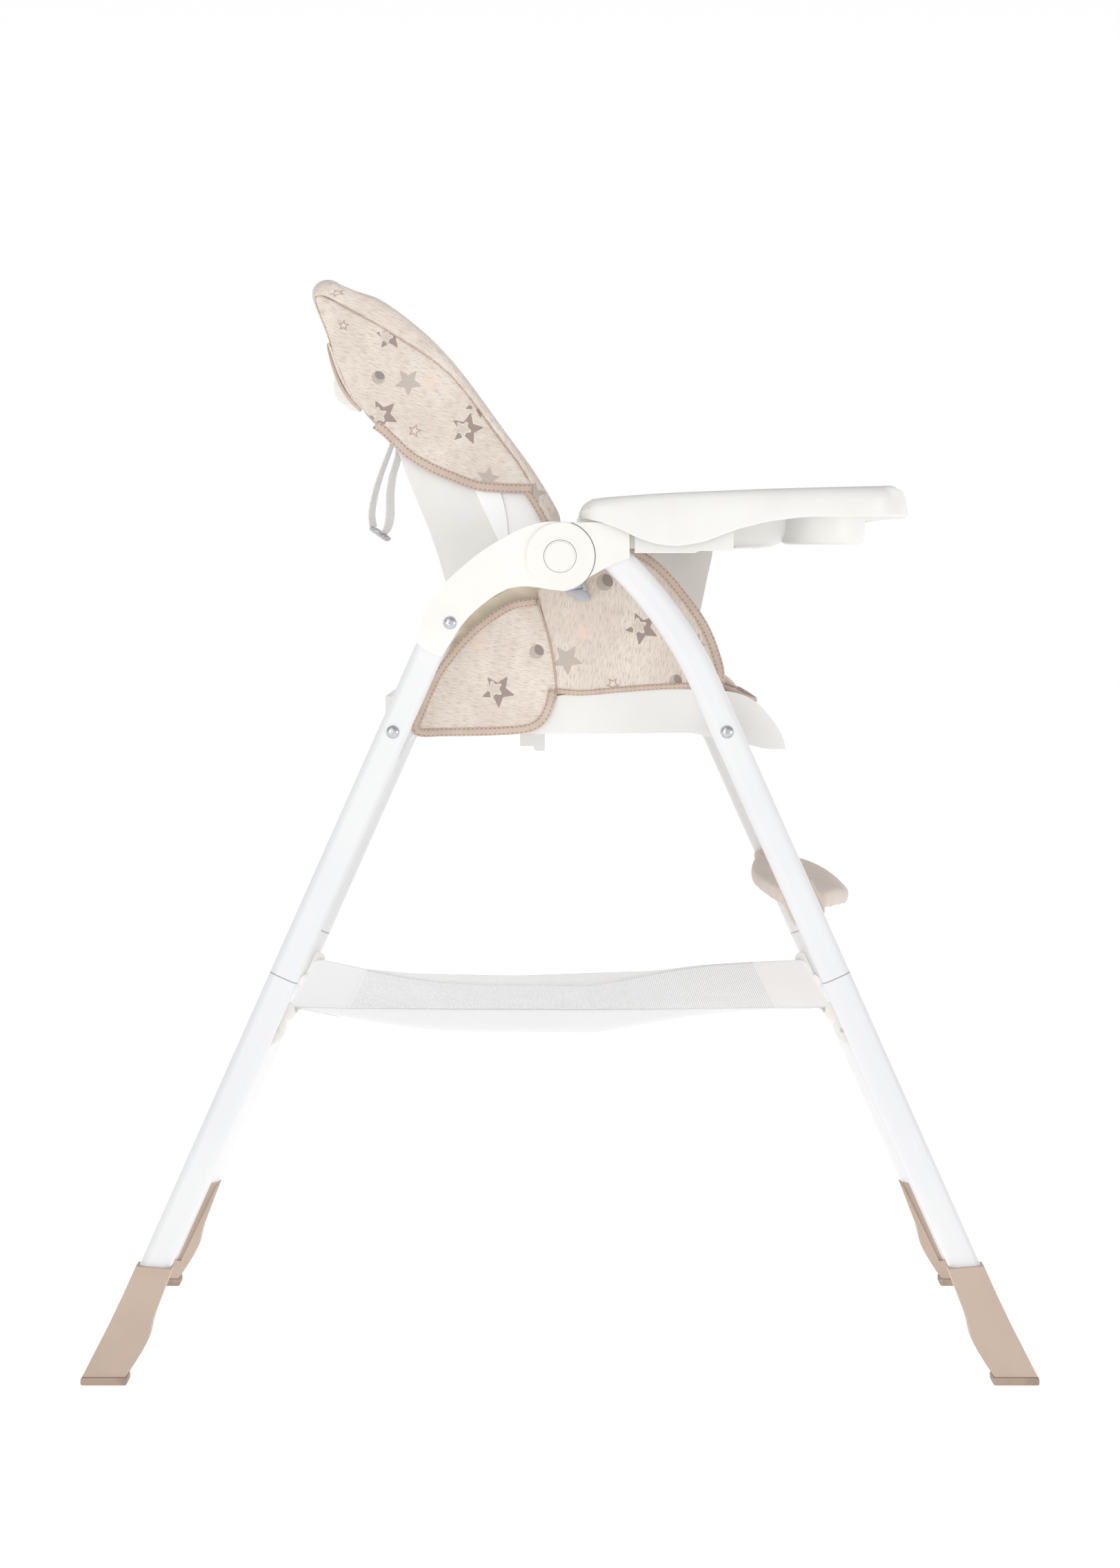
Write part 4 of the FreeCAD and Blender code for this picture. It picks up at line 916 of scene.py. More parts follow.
# ------------------------------------------------ tray
def tray_plan(inset, steps=7):
    """Tray outline from above, pulled in by inset; the same points at every inset."""
    low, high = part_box("tray")
    w, x0, x1, nose = high.y - inset, low.x + inset, high.x - 0.024 - inset, high.x - inset
    belly = 0.080 + inset
    side = [(x0, 0.240), (x0 + 0.006, w - 0.010), (x0 + 0.024, w), (x0 + 0.090, w), (x0 + 0.17, w), (x1 - 0.060, w),
            (x1 - 0.024, w - 0.008), (x1 - 0.007, w - 0.030), (x1 + 0.001, w - 0.066), (nose - 0.0125, 0.110)]
    back = [(belly - 0.002, 0.045), (belly - 0.010, 0.100), (x0 + 0.030, 0.162), (x0 + 0.008, 0.195)]
    points = [(nose, 0.0)] + [(x, -y) for x, y in side[::-1]] + [(x, -y) for x, y in back[::-1]] + back + side
    return [(p.x, p.y) for p in catmull([(x, y, 0) for x, y in points], steps, closed=True)]


TRAY_TOP = table([(0.018, 0.8195), (0.030, 0.8262), (0.045, 0.8278), (0.098, 0.8317), (0.193, 0.8356),
                  (0.295, 0.8383), (0.330, 0.8405), (0.348, 0.8405)])
TRAY_SKIRT = table([(0.018, 0.8062), (0.027, 0.8072), (0.039, 0.8044), (0.055, 0.7984), (0.074, 0.7890),
                    (0.093, 0.7832), (0.112, 0.7822), (0.134, 0.7862), (0.1645, 0.7980), (0.193, 0.8052),
                    (0.2286, 0.8096), (0.348, 0.8104)])


def skirt(x, y):
    """Height of the skirt's lower edge: a wave along the sides, straight elsewhere."""
    share = ease((abs(y) - 0.226) / 0.022)
    raised = 0.0034 * ease((x - 0.318) / 0.026)
    return TRAY_SKIRT(x) * share + max(TRAY_SKIRT(x), 0.8075) * (1 - share) + raised


def flat_fill(bm, rings, z, flip=False):
    """Flat face at height z inside the first ring, with the other rings as holes."""
    edges = []
    for ring in rings:
        verts = [bm.verts.new((x, y, z)) for x, y in ring]
        edges += [bm.edges.new((a, b)) for a, b in zip(verts, verts[1:] + verts[:1])]
    made = bmesh.ops.triangle_fill(bm, use_beauty=True, use_dissolve=False, edges=edges)
    faces = [f for f in made["geom"] if isinstance(f, bmesh.types.BMFace)]
    for face in faces:
        face.normal_update()
        if (face.normal.z > 0) == flip:
            face.normal_flip()


def ring_circle(cx, cy, r, count=56):
    turns = [math.tau * k / count for k in range(count)]
    return [(cx + r * math.cos(t), cy + r * math.sin(t)) for t in turns]


def rounded_box(x0, x1, half, r, count=6):
    out = []
    left, right = half - r, -half + r
    for cx, cy, start in ((x1 - r, left, 0), (x0 + r, left, 90), (x0 + r, right, 180), (x1 - r, right, 270)):
        for k in range(count + 1):
            a = math.radians(start + 90 * k / count)
            out.append((cx + r * math.cos(a), cy + r * math.sin(a)))
    return out


def leaning(x, y, z):
    """The front end of the tray slopes back a little towards its top."""
    return Vector((x - 0.0042 * ease((x - 0.295) / 0.03) * max(0.0, min(1.0, (z - 0.8138) / 0.024)), y, z))


def tray_piece(name, rings, fills, body, extras):
    """Rim made of rings (inset, height), with flat floors; it stands in for the node named like its body."""
    rows = [[leaning(x, y, height(x, y)) for x, y in tray_plan(inset)] for inset, height in rings]
    obj = grid(name, rows, WHITE, body, TRAY_SLOT, wrap=True, angle=50)
    with edited(obj.data) as bm:
        for inset, holes, z, flip in fills:
            flat_fill(bm, [tray_plan(inset)] + holes, z, flip)
        bmesh.ops.remove_doubles(bm, verts=bm.verts, dist=3e-5)
    for face in obj.data.polygons:
        face.use_smooth = True
    obj.data.set_sharp_from_angle(angle=math.radians(40))
    settle(joined(name, obj, *extras), body)


def cup_lathe(name, profile, body="tray"):
    return lathe(name, (*CUP, 0), (0, 0, 1), profile, WHITE, body, TRAY_SLOT)


# heights for the rings of a tray piece: level, along the rim's crest, along the skirt's lower edge
def level(height):
    return lambda x, y: height


def crest(rise):
    return lambda x, y: TRAY_TOP(x) + rise


def lower(rise):
    return lambda x, y: skirt(x, y) + rise


CUP = (0.254, -0.130)
TRAY_SLOT = "white_plastic"


def tray():
    rings = [(0.0165, level(0.8160)), (0.0150, level(0.8166)), (0.0140, level(0.8185)), (0.0134, crest(-0.0040)),
             (0.0122, crest(-0.0012)), (0.0100, crest(0)), (0.0066, crest(0.0002)), (0.0038, crest(-0.0008)),
             (0.0016, crest(-0.0030)), (0.0003, crest(-0.0066)),
             (0.0000, lambda x, y: TRAY_TOP(x) * 0.6 + skirt(x, y) * 0.4),
             (0.0004, lower(0.0022)), (0.0012, lower(0.0005)), (0.0022, lower(0)), (0.0034, lower(0.0008)),
             (0.0038, lambda x, y: min(skirt(x, y) + 0.004, 0.8120)), (0.0042, level(0.8122))]
    hole, well, lid_hole = [ring_circle(*CUP, r) for r in (0.0375, 0.0410, 0.0385)]
    mouth = rounded_box(0.134, 0.236, 0.1465, 0.012)
    box = rounded_box(0.1315, 0.2385, 0.149, 0.014)
    cup_profile = [(0.0375, 0.8160), (0.0372, 0.8130), (0.0366, 0.7925), (0.0350, 0.7895), (0.0, 0.7890)]
    cup_shell = [(0.0, 0.7848), (0.0360, 0.7850), (0.0392, 0.7868), (0.0402, 0.7900), (0.0410, 0.8124)]
    extras = [cup_lathe("cup", cup_profile[::-1]), cup_lathe("cup_outside", cup_shell)]
    for name, size, top, floor in (("basin_outside", 0.0, 0.8122, 0.7826),
                                   ("basin_inside", 0.0035, 0.8160, 0.7862)):
        levels = [(0.0, top, 0.0), (0.0012, 0.806, 0.004), (0.0030, 0.796, 0.012), (0.0050, floor + 0.006, 0.022),
                  (0.0080, floor + 0.0015, 0.030), (0.0120, floor, 0.036), (0.045, floor, 0.060)]
        rows = []
        for inset, z, front in levels:
            outline = rounded_box(0.1315 + size + inset * 0.6, 0.2385 - size - front, 0.149 - size - inset, 0.014)
            rows.append([Vector((x, y, z)) for x, y in outline])
        piece = grid(name, rows, WHITE, "tray", TRAY_SLOT, wrap=True, angle=60)
        with edited(piece.data) as bm:
            bm.faces.new(bm.verts[-len(rows[0]):])
            bmesh.ops.recalc_face_normals(bm, faces=bm.faces)
        extras.append(piece)
    for sign in (1, -1):
        for name, low, high, near in (("guide", 0.7995, 0.8125, 0.0345), ("guide_lip", 0.796, 0.7995, 0.028)):
            outline = [(0.246, low), (0.276, low), (0.276, high), (0.246, high)]
            extras.append(prism(name, outline, near * sign, 0.038 * sign, WHITE, "tray", TRAY_SLOT, 0.0006))
    tray_piece("tray_body", rings, [(0.0165, [hole, mouth], 0.8160, False), (0.0042, [well, box], 0.8122, True)],
               "tray", extras)
    rim = [(0.0200, 0.8196), (0.0188, 0.8200), (0.0182, 0.8212), (0.0178, 0.8228), (0.0170, 0.8238),
           (0.0160, 0.8238), (0.0153, 0.8230), (0.0151, 0.8215), (0.0152, 0.8170), (0.0158, 0.8164)]
    lip = cup_lathe("insert_lip", [(0.0385, 0.8164), (0.0385, 0.8205), (0.0392, 0.8212), (0.0405, 0.8206),
                                   (0.0412, 0.8196)], "tray_insert")
    tray_piece("tray_insert_dish", [(inset, level(height)) for inset, height in rim],
               [(0.0200, [lid_hole], 0.8196, False), (0.0158, [lid_hole], 0.8164, True)], "tray_insert", [lip])


tray()


# ------------------------------------------------ cloth helpers
def coons(bottom, top, left, right, nu, nv):
    """Patch between four smooth 2-D boundary lines: bottom and top run with u, left and right with v."""
    b, t = curve2(bottom, nu), curve2(top, nu)
    l, r = curve2(left, nv), curve2(right, nv)
    rows = []
    for j in range(nv):
        v = j / (nv - 1)
        row = []
        for i in range(nu):
            u = i / (nu - 1)
            point = []
            for k in (0, 1):
                corners = ((1 - u) * (1 - v) * b[0][k] + u * (1 - v) * b[-1][k] + (1 - u) * v * t[0][k]
                           + u * v * t[-1][k])
                point.append((1 - v) * b[i][k] + v * t[i][k] + (1 - u) * l[j][k] + u * r[j][k] - corners)
            row.append((point[0], point[1], u, v))
        rows.append(row)
    return rows


def panel(name, patch, place, side, base, crown, material, body, wrinkle, seed, dents=(), seam_drop=0.0):
    """Cloth panel over a patch; place(x, y, z) takes millimetres, base is its distance from the middle."""
    rows, uv = [], []
    for line in patch:
        row, marks = [], []
        for x, z, u, v in line:
            dome = (4 * u * (1 - u)) ** 0.5 * (4 * v * (1 - v)) ** 0.5
            y = base + crown * dome
            y += wrinkle * dome ** 0.5 * noise.noise(Vector((x * 0.022 + seed, z * 0.022, seed * 3.1)))
            y += 0.5 * wrinkle * noise.noise(Vector((x * 0.07, z * 0.02, seed)))
            y -= seam_drop * ease((u - 0.8) / 0.2)
            for cx, cz, reach, depth in dents:
                y += depth * math.exp(-((x - cx) ** 2 + (z - cz) ** 2) / reach ** 2)
            row.append(place(x, y * side, z))
            marks.append((x * MM, z * MM))
        rows.append(row)
        uv.append(marks)
    return thicken(grid(name, rows, material, body, FABRIC, uv=uv, flip=side > 0))


def edging(name, line, place, side, base, width, body, half_thick=1.9):
    """Folded edge tape along a 2-D line at one distance from the middle."""
    count = max(12, int(sum(math.dist(a, b) for a, b in zip(line, line[1:])) / 4))
    path = [place(x, base * side, z) for x, z in curve2(line, count)]
    path = [p + Vector((0, 0.0003 * math.sin(i * 1.7), 0)) for i, p in enumerate(path)]
    section = oval(width / 2 * MM, half_thick * MM, 12, 0.5)
    settle(sweep(name, path, section, BIND, body, FABRIC, up=(0, side, 0)))


def cloth(obj, held, *nodes, rests_on=()):
    """Settle a sheet of cloth."""
    settle(obj, *nodes)
    return obj


def world_place(x, y, z):
    return Vector((x, y, z)) * MM


def back_place(x, y, z):
    """The backrest's own leaning frame, in millimetres, to the row frame."""
    c, s = math.cos(BACK_LEAN), math.sin(BACK_LEAN)
    return Vector((RECLINE.x + (x * c - z * s) * MM, y * MM, RECLINE.z + (x * s + z * c) * MM))


PRESSURE = 4.0


def inflate(obj, cap):
    """Stuff a closed cloth form: short pressure simulation, then a cap on how far it swells."""
    mesh = obj.data
    before = [v.co.copy() for v in mesh.vertices]
    cloth = obj.modifiers.new("cloth", "CLOTH")
    settings = cloth.settings
    settings.quality, settings.mass = 5, 0.2
    settings.tension_stiffness = settings.compression_stiffness = 12.0
    settings.bending_stiffness = 0.4
    settings.use_pressure, settings.uniform_pressure_force = True, PRESSURE
    settings.effector_weights.gravity = 0.0
    cloth.collision_settings.use_collision = False
    for frame_number in range(1, 21):
        scene.frame_set(frame_number)
    graph = bpy.context.evaluated_depsgraph_get()
    after = [v.co.copy() for v in obj.evaluated_get(graph).data.vertices]
    obj.modifiers.remove(cloth)
    scene.frame_set(1)
    for v, p, q in zip(mesh.vertices, before, after):
        move = q - p
        v.co = p + move * (min(cap, move.length) / move.length if move.length > 1e-9 else 1.0)
    return obj


def stuffed(name, outline, half, place, material, body, voxel, cap):
    """Closed pad from a side outline in millimetres, remeshed and inflated."""
    mesh = bpy.data.meshes.new(name)
    with edited(mesh) as bm:
        closed_form(bm, *[[place(x, y, z) for x, z in outline] for y in (-half, half)])
    return inflate(remeshed(new_object(name, mesh, material, body, FABRIC), material, voxel), cap)


# ------------------------------------------------ backrest hood
HEM = [(6.9, 263.3), (13, 247), (20, 230), (33.1, 210.5), (48.5, 194.1), (64.9, 177.2), (82.1, 166.9), (98, 159),
       (113.2, 151.5)]
# the side panel's rear, top and front edges; the front one is the seam to the main panel
HOOD_REAR = [(6.9, 263.3), (-1.2, 284), (-4.9, 300), (-6, 336), (-3.6, 356), (-1.5, 382), (0.5, 402)]
HOOD_TOP = [(0.5, 402), (6, 402.5), (13, 395.5), (21.5, 384.5), (30, 372.9), (40, 359.5), (49.5, 345.3)]
SEAM = [(113.2, 151.5), (110.4, 178.2), (102.9, 211.7), (96.3, 247.2), (87.9, 278.8), (77.5, 301), (65.7, 320.4),
        (49.5, 345.3)]
# seam point, foremost point and pad point of each row, from the bottom of the wing to its top
HOOD_ROWS = [((109.5, 108), (126.2, 108), (30, 106)), ((108.6, 130), (124.6, 130), (32, 130)),
             ((108.2, 149), (122.2, 151), (33, 152)), ((113.0, 160), (120.6, 163), (33.5, 165)),
             ((110.4, 178.2), (117.6, 181), (34, 181)), ((102.9, 211.7), (111.2, 212), (34, 212)),
             ((96.3, 247.2), (104.2, 250), (33.5, 248)), ((87.9, 278.8), (97.2, 283), (33, 282)),
             ((77.5, 301), (90.4, 306), (32, 306)), ((65.7, 320.4), (82.0, 328), (31, 328)),
             ((49.5, 345.3), (71.0, 351), (30, 350)), ((30, 372.9), (56.6, 377), (29.5, 370)),
             ((20, 386.5), (41.5, 388), (29.5, 384)), ((11.5, 398), (30, 401), (28.5, 396))]
# side point and middle point of each row over the top and down the rear
HOOD_ROLL = [((20, 409.5), (27, 417)), ((11, 411.5), (18.3, 424.8)), ((4, 408), (6.5, 426.6)),
             ((0.5, 402.5), (-2.4, 420)), ((-1.2, 392), (-4.2, 409)), ((-1.8, 378), (-3, 392)),
             ((-3.6, 356), (-3.6, 364)), ((-4.8, 356), (-4.8, 361))]
# ends of the roll's first rows, where they meet the side panel
CORNER = [(7.5, 400.8), (5, 401.8), (3, 402.2), (0.5, 402)]
# rows of the linings inside the shell, under the wings
LOWER_ROWS = [((57, 66), (58.5, 66), (29, 66)), ((84, 85), (87, 86), (29.5, 86)),
              ((106, 100), (112, 101), (30, 98))]
# distances from the middle: the side panel, the shell's inner face, and the points of a row
HOOD_HALF, SHELL_INSIDE = 188.0, 176.4
SPREAD = (188.3, 188.6, 186.0, 181.0, 175.6, 172.6, 171.4, 170.0, 165.0, 156.0, 104.0, 52.0, 0.0)


def hood_line(s, f, p):
    """One row of the front panel, from its seam point over its foremost point to the pad."""
    k = min((f[0] - p[0]) / 30, 1.0)
    return [s, ((s[0] + f[0]) / 2, (s[1] + f[1]) / 2), (f[0] - 2.2 * k, f[1] - 0.6), f,
            (f[0] - 2.0 * k, f[1] - 1.0), (f[0] - 8.0 * k, f[1] * 0.8 + p[1] * 0.2),
            (f[0] * 0.5 + p[0] * 0.5, f[1] * 0.5 + p[1] * 0.5), (p[0] + 9.0 * k, p[1]), (p[0] + 2.0 * k, p[1]),
            p, p, p, p]


def hood_main():
    """Front panel of the hood: edge strips, linings, back panel, top roll and rear fall, in one sheet."""
    rows = []
    for n, (s, f, p) in enumerate(LOWER_ROWS + HOOD_ROWS):
        line = []
        for j, ((x, z), y) in enumerate(zip(hood_line(s, f, p), SPREAD)):
            if n < len(LOWER_ROWS):
                y = min(y, SHELL_INSIDE - 0.25 * j)
            wave = 0.7 * noise.noise(Vector((z * 0.035, j * 0.6, 4.0)))
            line.append((x + (wave if 2 < j < 8 else 0), y + (wave if j in (1, 5, 6) else 0), z))
        rows.append(line)
    for n, (end, middle) in enumerate(HOOD_ROLL):
        line = []
        for j, y in enumerate(SPREAD):
            g = 1 - (min(y, HOOD_HALF) / HOOD_HALF) ** 2.2
            x, z = [a + (b - a) * g for a, b in zip(end, middle)]
            if j < 2 and n < len(CORNER):
                x, z = [a * 0.5 * j + b * (1 - 0.5 * j) for a, b in zip((x, z), CORNER[n])]
            line.append((x, y, z))
        rows.append(line)
    full = [[back_place(*p) for p in mirrored(line, -1)] for line in rows]
    return thicken(grid("hood_main", full, HOOD_PRINT, "backrest", FABRIC), levels=2)


def hood():
    cloth(hood_main(), "stretched", "backrest_cover", rests_on=["backrest_shell_moulded"])
    for name, side in SIDES:
        patch = coons(HEM, HOOD_TOP, HOOD_REAR, SEAM, 34, 30)
        wing = panel(f"hood_side_{name}", patch, back_place, side, 187.4, 2.2, HOOD_SIDE_PRINT, "backrest", 1.4,
                     2.0 + side, dents=((60, 318, 12, -1.4), (45, 338, 9, -1.2)))
        cloth(wing, "stretched", rests_on=["backrest_shell_moulded"])
        for part, line, base, width, *half_thick in (
                ("seam", SEAM + [(39.5, 359.5), (30, 372.6), (20, 386.3), (8, 400.5)], 188.9, 1.0, 0.5),
                ("hem", [(2.5, 268), (7.6, 259.0), (13.5, 244), (20.5, 227), (34, 207.6), (49, 191), (66, 174),
                         (83, 163.8), (98, 156), (112.6, 149.2)], HOOD_HALF, 9.4),
                ("edge", [(105.6, 154), (108, 140), (109.4, 124), (110.2, 108)], 187.6, 7.0)):
            edging(f"hood_{part}_{name}", line, back_place, side, base, width, "backrest", *half_thick)
        rows = []
        for v in [j / 6 for j in range(7)]:
            flare = 5.2 * math.sin(math.pi * max(0.0, (v - 0.1) / 0.9))
            rows.append([back_place(-5.2 + 0.5 * math.sin(3 * v + i) - flare * (0.4 + 0.6 * i / 8),
                                    side * (187.6 - 12.0 * i / 8 * (1 - 0.6 * v)), 358 - 70 * v) for i in range(9)])
        fall = grid(f"hood_fall_{name}", rows, HOOD_PRINT, "backrest", FABRIC)
        cloth(thicken(fall), "hung", rests_on=["hood_main"])
    corner = [(-4.5, 186.0, 286), (-9.6, 184.2, 300), (-11.8, 181.5, 318), (-10.4, 177.5, 336), (-7.6, 168, 351),
              (-6.2, 150, 356.5), (-5.8, 90, 358), (-5.8, 0, 359)]
    opening = even(catmull([back_place(*p) for p in mirrored(corner, -1)], 6), 96)
    normal = back_place(-1, 0, 0) - back_place(0, 0, 0)
    settle(sweep("handle_opening_binding", opening, oval(0.0038, 0.0018, power=0.5), BIND, "backrest", FABRIC,
                 up=tuple(normal)))


HOOD_FIGURES = [("two", 80, 227, 15.5, 0.35), ("grey", 48, 291, 14, 0.75), ("peach", 66, 282, 11.5, 0.2),
                ("dot", 24, 307, 6.2, 0), ("line", 34, 246.5, 7, 0.4), ("two", 13, 273, 15, 0.9),
                ("two", 50, 338, 13, 0.1), ("two", 101, 244, 14, 0.7), ("grey", 78, 176, 12, 0.3),
                ("dot", 36, 380, 6, 0), ("line", 15, 366, 6, 0.2)]
HOOD_SIDE_PRINT = printed_cloth("hood_side_cloth", HOOD_FIGURES, turn=math.radians(135))
HOOD_PRINT = printed_cloth("hood_front_cloth", turn=math.radians(20), cell=0.062, seed=3.0)
hood()


# ------------------------------------------------ seat sides
SIDE_FRONT = [(151, 652), (152, 664), (148, 679.5), (140.3, 700.2), (129.9, 718.3), (114.5, 739), (98.8, 757.1),
              (80.8, 773.9)]
FLAP_TOP = [(-141, 606), (-136, 622), (-126, 646), (-113.1, 669.2), (-100, 686), (-87.2, 700.3)]
FLAP_CREST = [(-87.2, 700.3), (-74, 711), (-61.4, 720.9), (-43.3, 729.9), (-22.6, 733.5)]
FLAP_BOTTOM = [(-141, 606), (-120, 602.5), (-61.4, 602.8), (-30.4, 606.2), (-15, 614), (-7.2, 630.5)]
FLAP_FRONT = [(-7.2, 630.5), (-3.3, 645), (-9, 690), (-22.6, 733.5)]


def seat_sides():
    rear, front = (-6, 642.5), (-22, 742)
    for name, side in SIDES:
        patch = coons([rear, (57.7, 646.5), (122, 650), (151, 652)], [front, (5, 753), (42, 765), (80.8, 773.9)],
                      [rear, (-11, 690), front], SIDE_FRONT, 34, 26)
        main = panel(f"seat_cloth_{name}", patch, world_place, side, 195.6, 1.8, SEAT_SIDE_PRINT, "seat", 1.5,
                     5.0 + side, dents=((30, 655, 16, 1.0), (70, 655, 14, -0.8)))
        cloth(main, "hung", f"side_cover_{name}", rests_on=[f"seat_side_{name}_moulded"])
        flap = panel(f"seat_flap_{name}", coons(FLAP_BOTTOM, FLAP_CREST, FLAP_TOP, FLAP_FRONT, 30, 24), world_place,
                     side, 198.0, 2.4, FLAP_PRINT, "seat", 1.4, 9.0 + side, seam_drop=1.7)
        cloth(flap, "hung", rests_on=[f"seat_cloth_{name}"])
        rim = [(-23, 730), (-43, 727), (-60.5, 718), (-86, 698), (-111, 668), (-123.5, 645), (-133, 622),
               (-137, 611.5), (-132.5, 606), (-110, 606.3), (-61.4, 607.2), (-31, 610), (-17.5, 617.5),
               (-10.5, 631), (-7, 646)]
        for part, line, base, width, *half_thick in (
                ("front_binding", [(64, 779), (80.8, 772)] + SIDE_FRONT[::-1][1:] + [(150, 650)], 196.6, 8.6),
                ("bottom_binding", [(-5, 645.5), (20, 643.5), (57.7, 646.6), (100, 649.5), (150, 651)], 196.4, 5.6),
                ("seam", FLAP_FRONT[::-1], 197.6, 1.2, 0.6), ("flap_binding", rim, 199.2, 8.4)):
            edging(f"seat_{part}_{name}", line, world_place, side, base, width, "seat", *half_thick)
        low, high = (-118, 655), (-12, 735)
        folds = coons([low, (-90, 690), (-40, 722), high], [(-104, 690), (-80, 722), (-44, 744), (-10, 752)],
                      [low, (-112, 672), (-104, 690)], [high, (-11, 744), (-10, 752)], 30, 10)
        rows = [[world_place(x, side * (187.0 + 2.6 * math.sin(x * 0.2 + z * 0.25) * (0.4 + v)), z)
                 for x, z, u, v in line] for line in folds]
        gusset = grid(f"seat_gusset_{name}", rows, LINING, "seat", FABRIC, flip=side > 0)
        cloth(thicken(gusset, 0.0012), "gathered", rests_on=[f"seat_cloth_{name}"])


SEAT_FIGURES = [("dot", 42.4, 748.6, 8, 0), ("two", 78, 705, 16, 0.5), ("peach", 22.4, 699.4, 11, 0.5),
                ("grey", 6.6, 675.2, 16, 0.25), ("dot", -22.3, 682.7, 6.8, 0), ("two", -58.7, 645.6, 16, 0.27),
                ("peach", -76, 690, 10, 0.9), ("two", 132, 655, 12, 0.6), ("dot", 110, 655, 6, 0),
                ("line", 50, 652, 7, 0.3), ("grey", 128, 690, 12, 0.1)]
SEAT_SIDE_PRINT = printed_cloth("seat_side_cloth", SEAT_FIGURES, turn=math.radians(8))
FLAP_PRINT = printed_cloth("seat_flap_cloth", SEAT_FIGURES, turn=math.radians(100))
LINING = moulded("cream_lining", rgb(240, 229, 208), rgb(222, 207, 182), 0.8)
seat_sides()


# ------------------------------------------------ cushions
def pad_print(name, axes, seed):
    return printed_cloth(name, turn=math.radians(90), cell=0.078, seed=seed, on_object=axes)


def cushions():
    outline = [(-47, 645), (-47, 658), (-30, 661), (20, 660), (90, 659.5), (153, 660), (160, 657.5), (169, 649.5),
               (178, 642), (183, 638), (176, 642.5), (158, 649.5), (122, 651.5), (57.7, 650), (-4.6, 645)]
    seat = stuffed("seat_pad", outline, 179, world_place, pad_print("seat_pad_cloth", "XY", 2.0), "seat", 0.005,
                   0.0045)
    settle(smoothed(seat), "seat_cushion")
    edge = [(60, -182, 650), (100, -182.6, 650), (140, -183.2, 649.5), (156, -183.6, 648.5), (166, -183.6, 644.5),
            (176, -183, 639.5), (184, -180, 636.4), (187, -168, 635.8), (187.6, -80, 635.6), (187.8, 0, 635.6)]
    path = even(catmull([Vector(p) * MM for p in mirrored(edge)], 8), 150)
    settle(sweep("seat_pad_binding", path, oval(0.0017, 0.0027, power=0.5), BIND, "seat", FABRIC, up=(0, 0, 1)))
    outline = [(26, 72), (30, 67), (38, 69), (41.5, 80), (42.5, 150), (42.5, 240), (40.5, 330), (37.5, 376),
               (33, 383), (28, 380), (27, 330), (27, 150)]
    back = stuffed("back_pad", outline, 148, back_place, pad_print("back_pad_cloth", "YZ", 6.0), "backrest", 0.006,
                   0.0055)
    settle(smoothed(back))


cushions()


# ------------------------------------------------ basket sling
ROD_X, ROD_Z = 254.5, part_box("basket_rod_front")[0].z / MM + 3
BASKET_FLOOR = [(-249, 347.2), (-240, 344.6), (-226, 341.8), (-213.9, 339), (-170, 330), (-123.6, 322.9),
                (-80, 320.8), (-33.9, 320.2), (32.9, 319.4), (60, 324.4), (90, 330.9), (125, 337.5),
                (159.8, 342.0), (201.7, 345.2), (235, 346.2), (249, 347.2)]
NEAR_BRIM = [(-249, 347.6), (-205, 346.6), (-120, 346.2), (0, 345.6), (90, 345.8), (150, 346.4), (205, 347.0),
             (249, 347.6)]
FAR_BRIM = [(-249, 347.4), (-205, 338.0), (-150, 333.5), (-50, 331.5), (0, 333), (100, 336.5), (150, 342.6),
            (205, 345.6), (249, 347.4)]


FLOOR_SHARE = 0.8  # share of the points across the sling that lie on its floor
HEM_RADIUS = 4.75


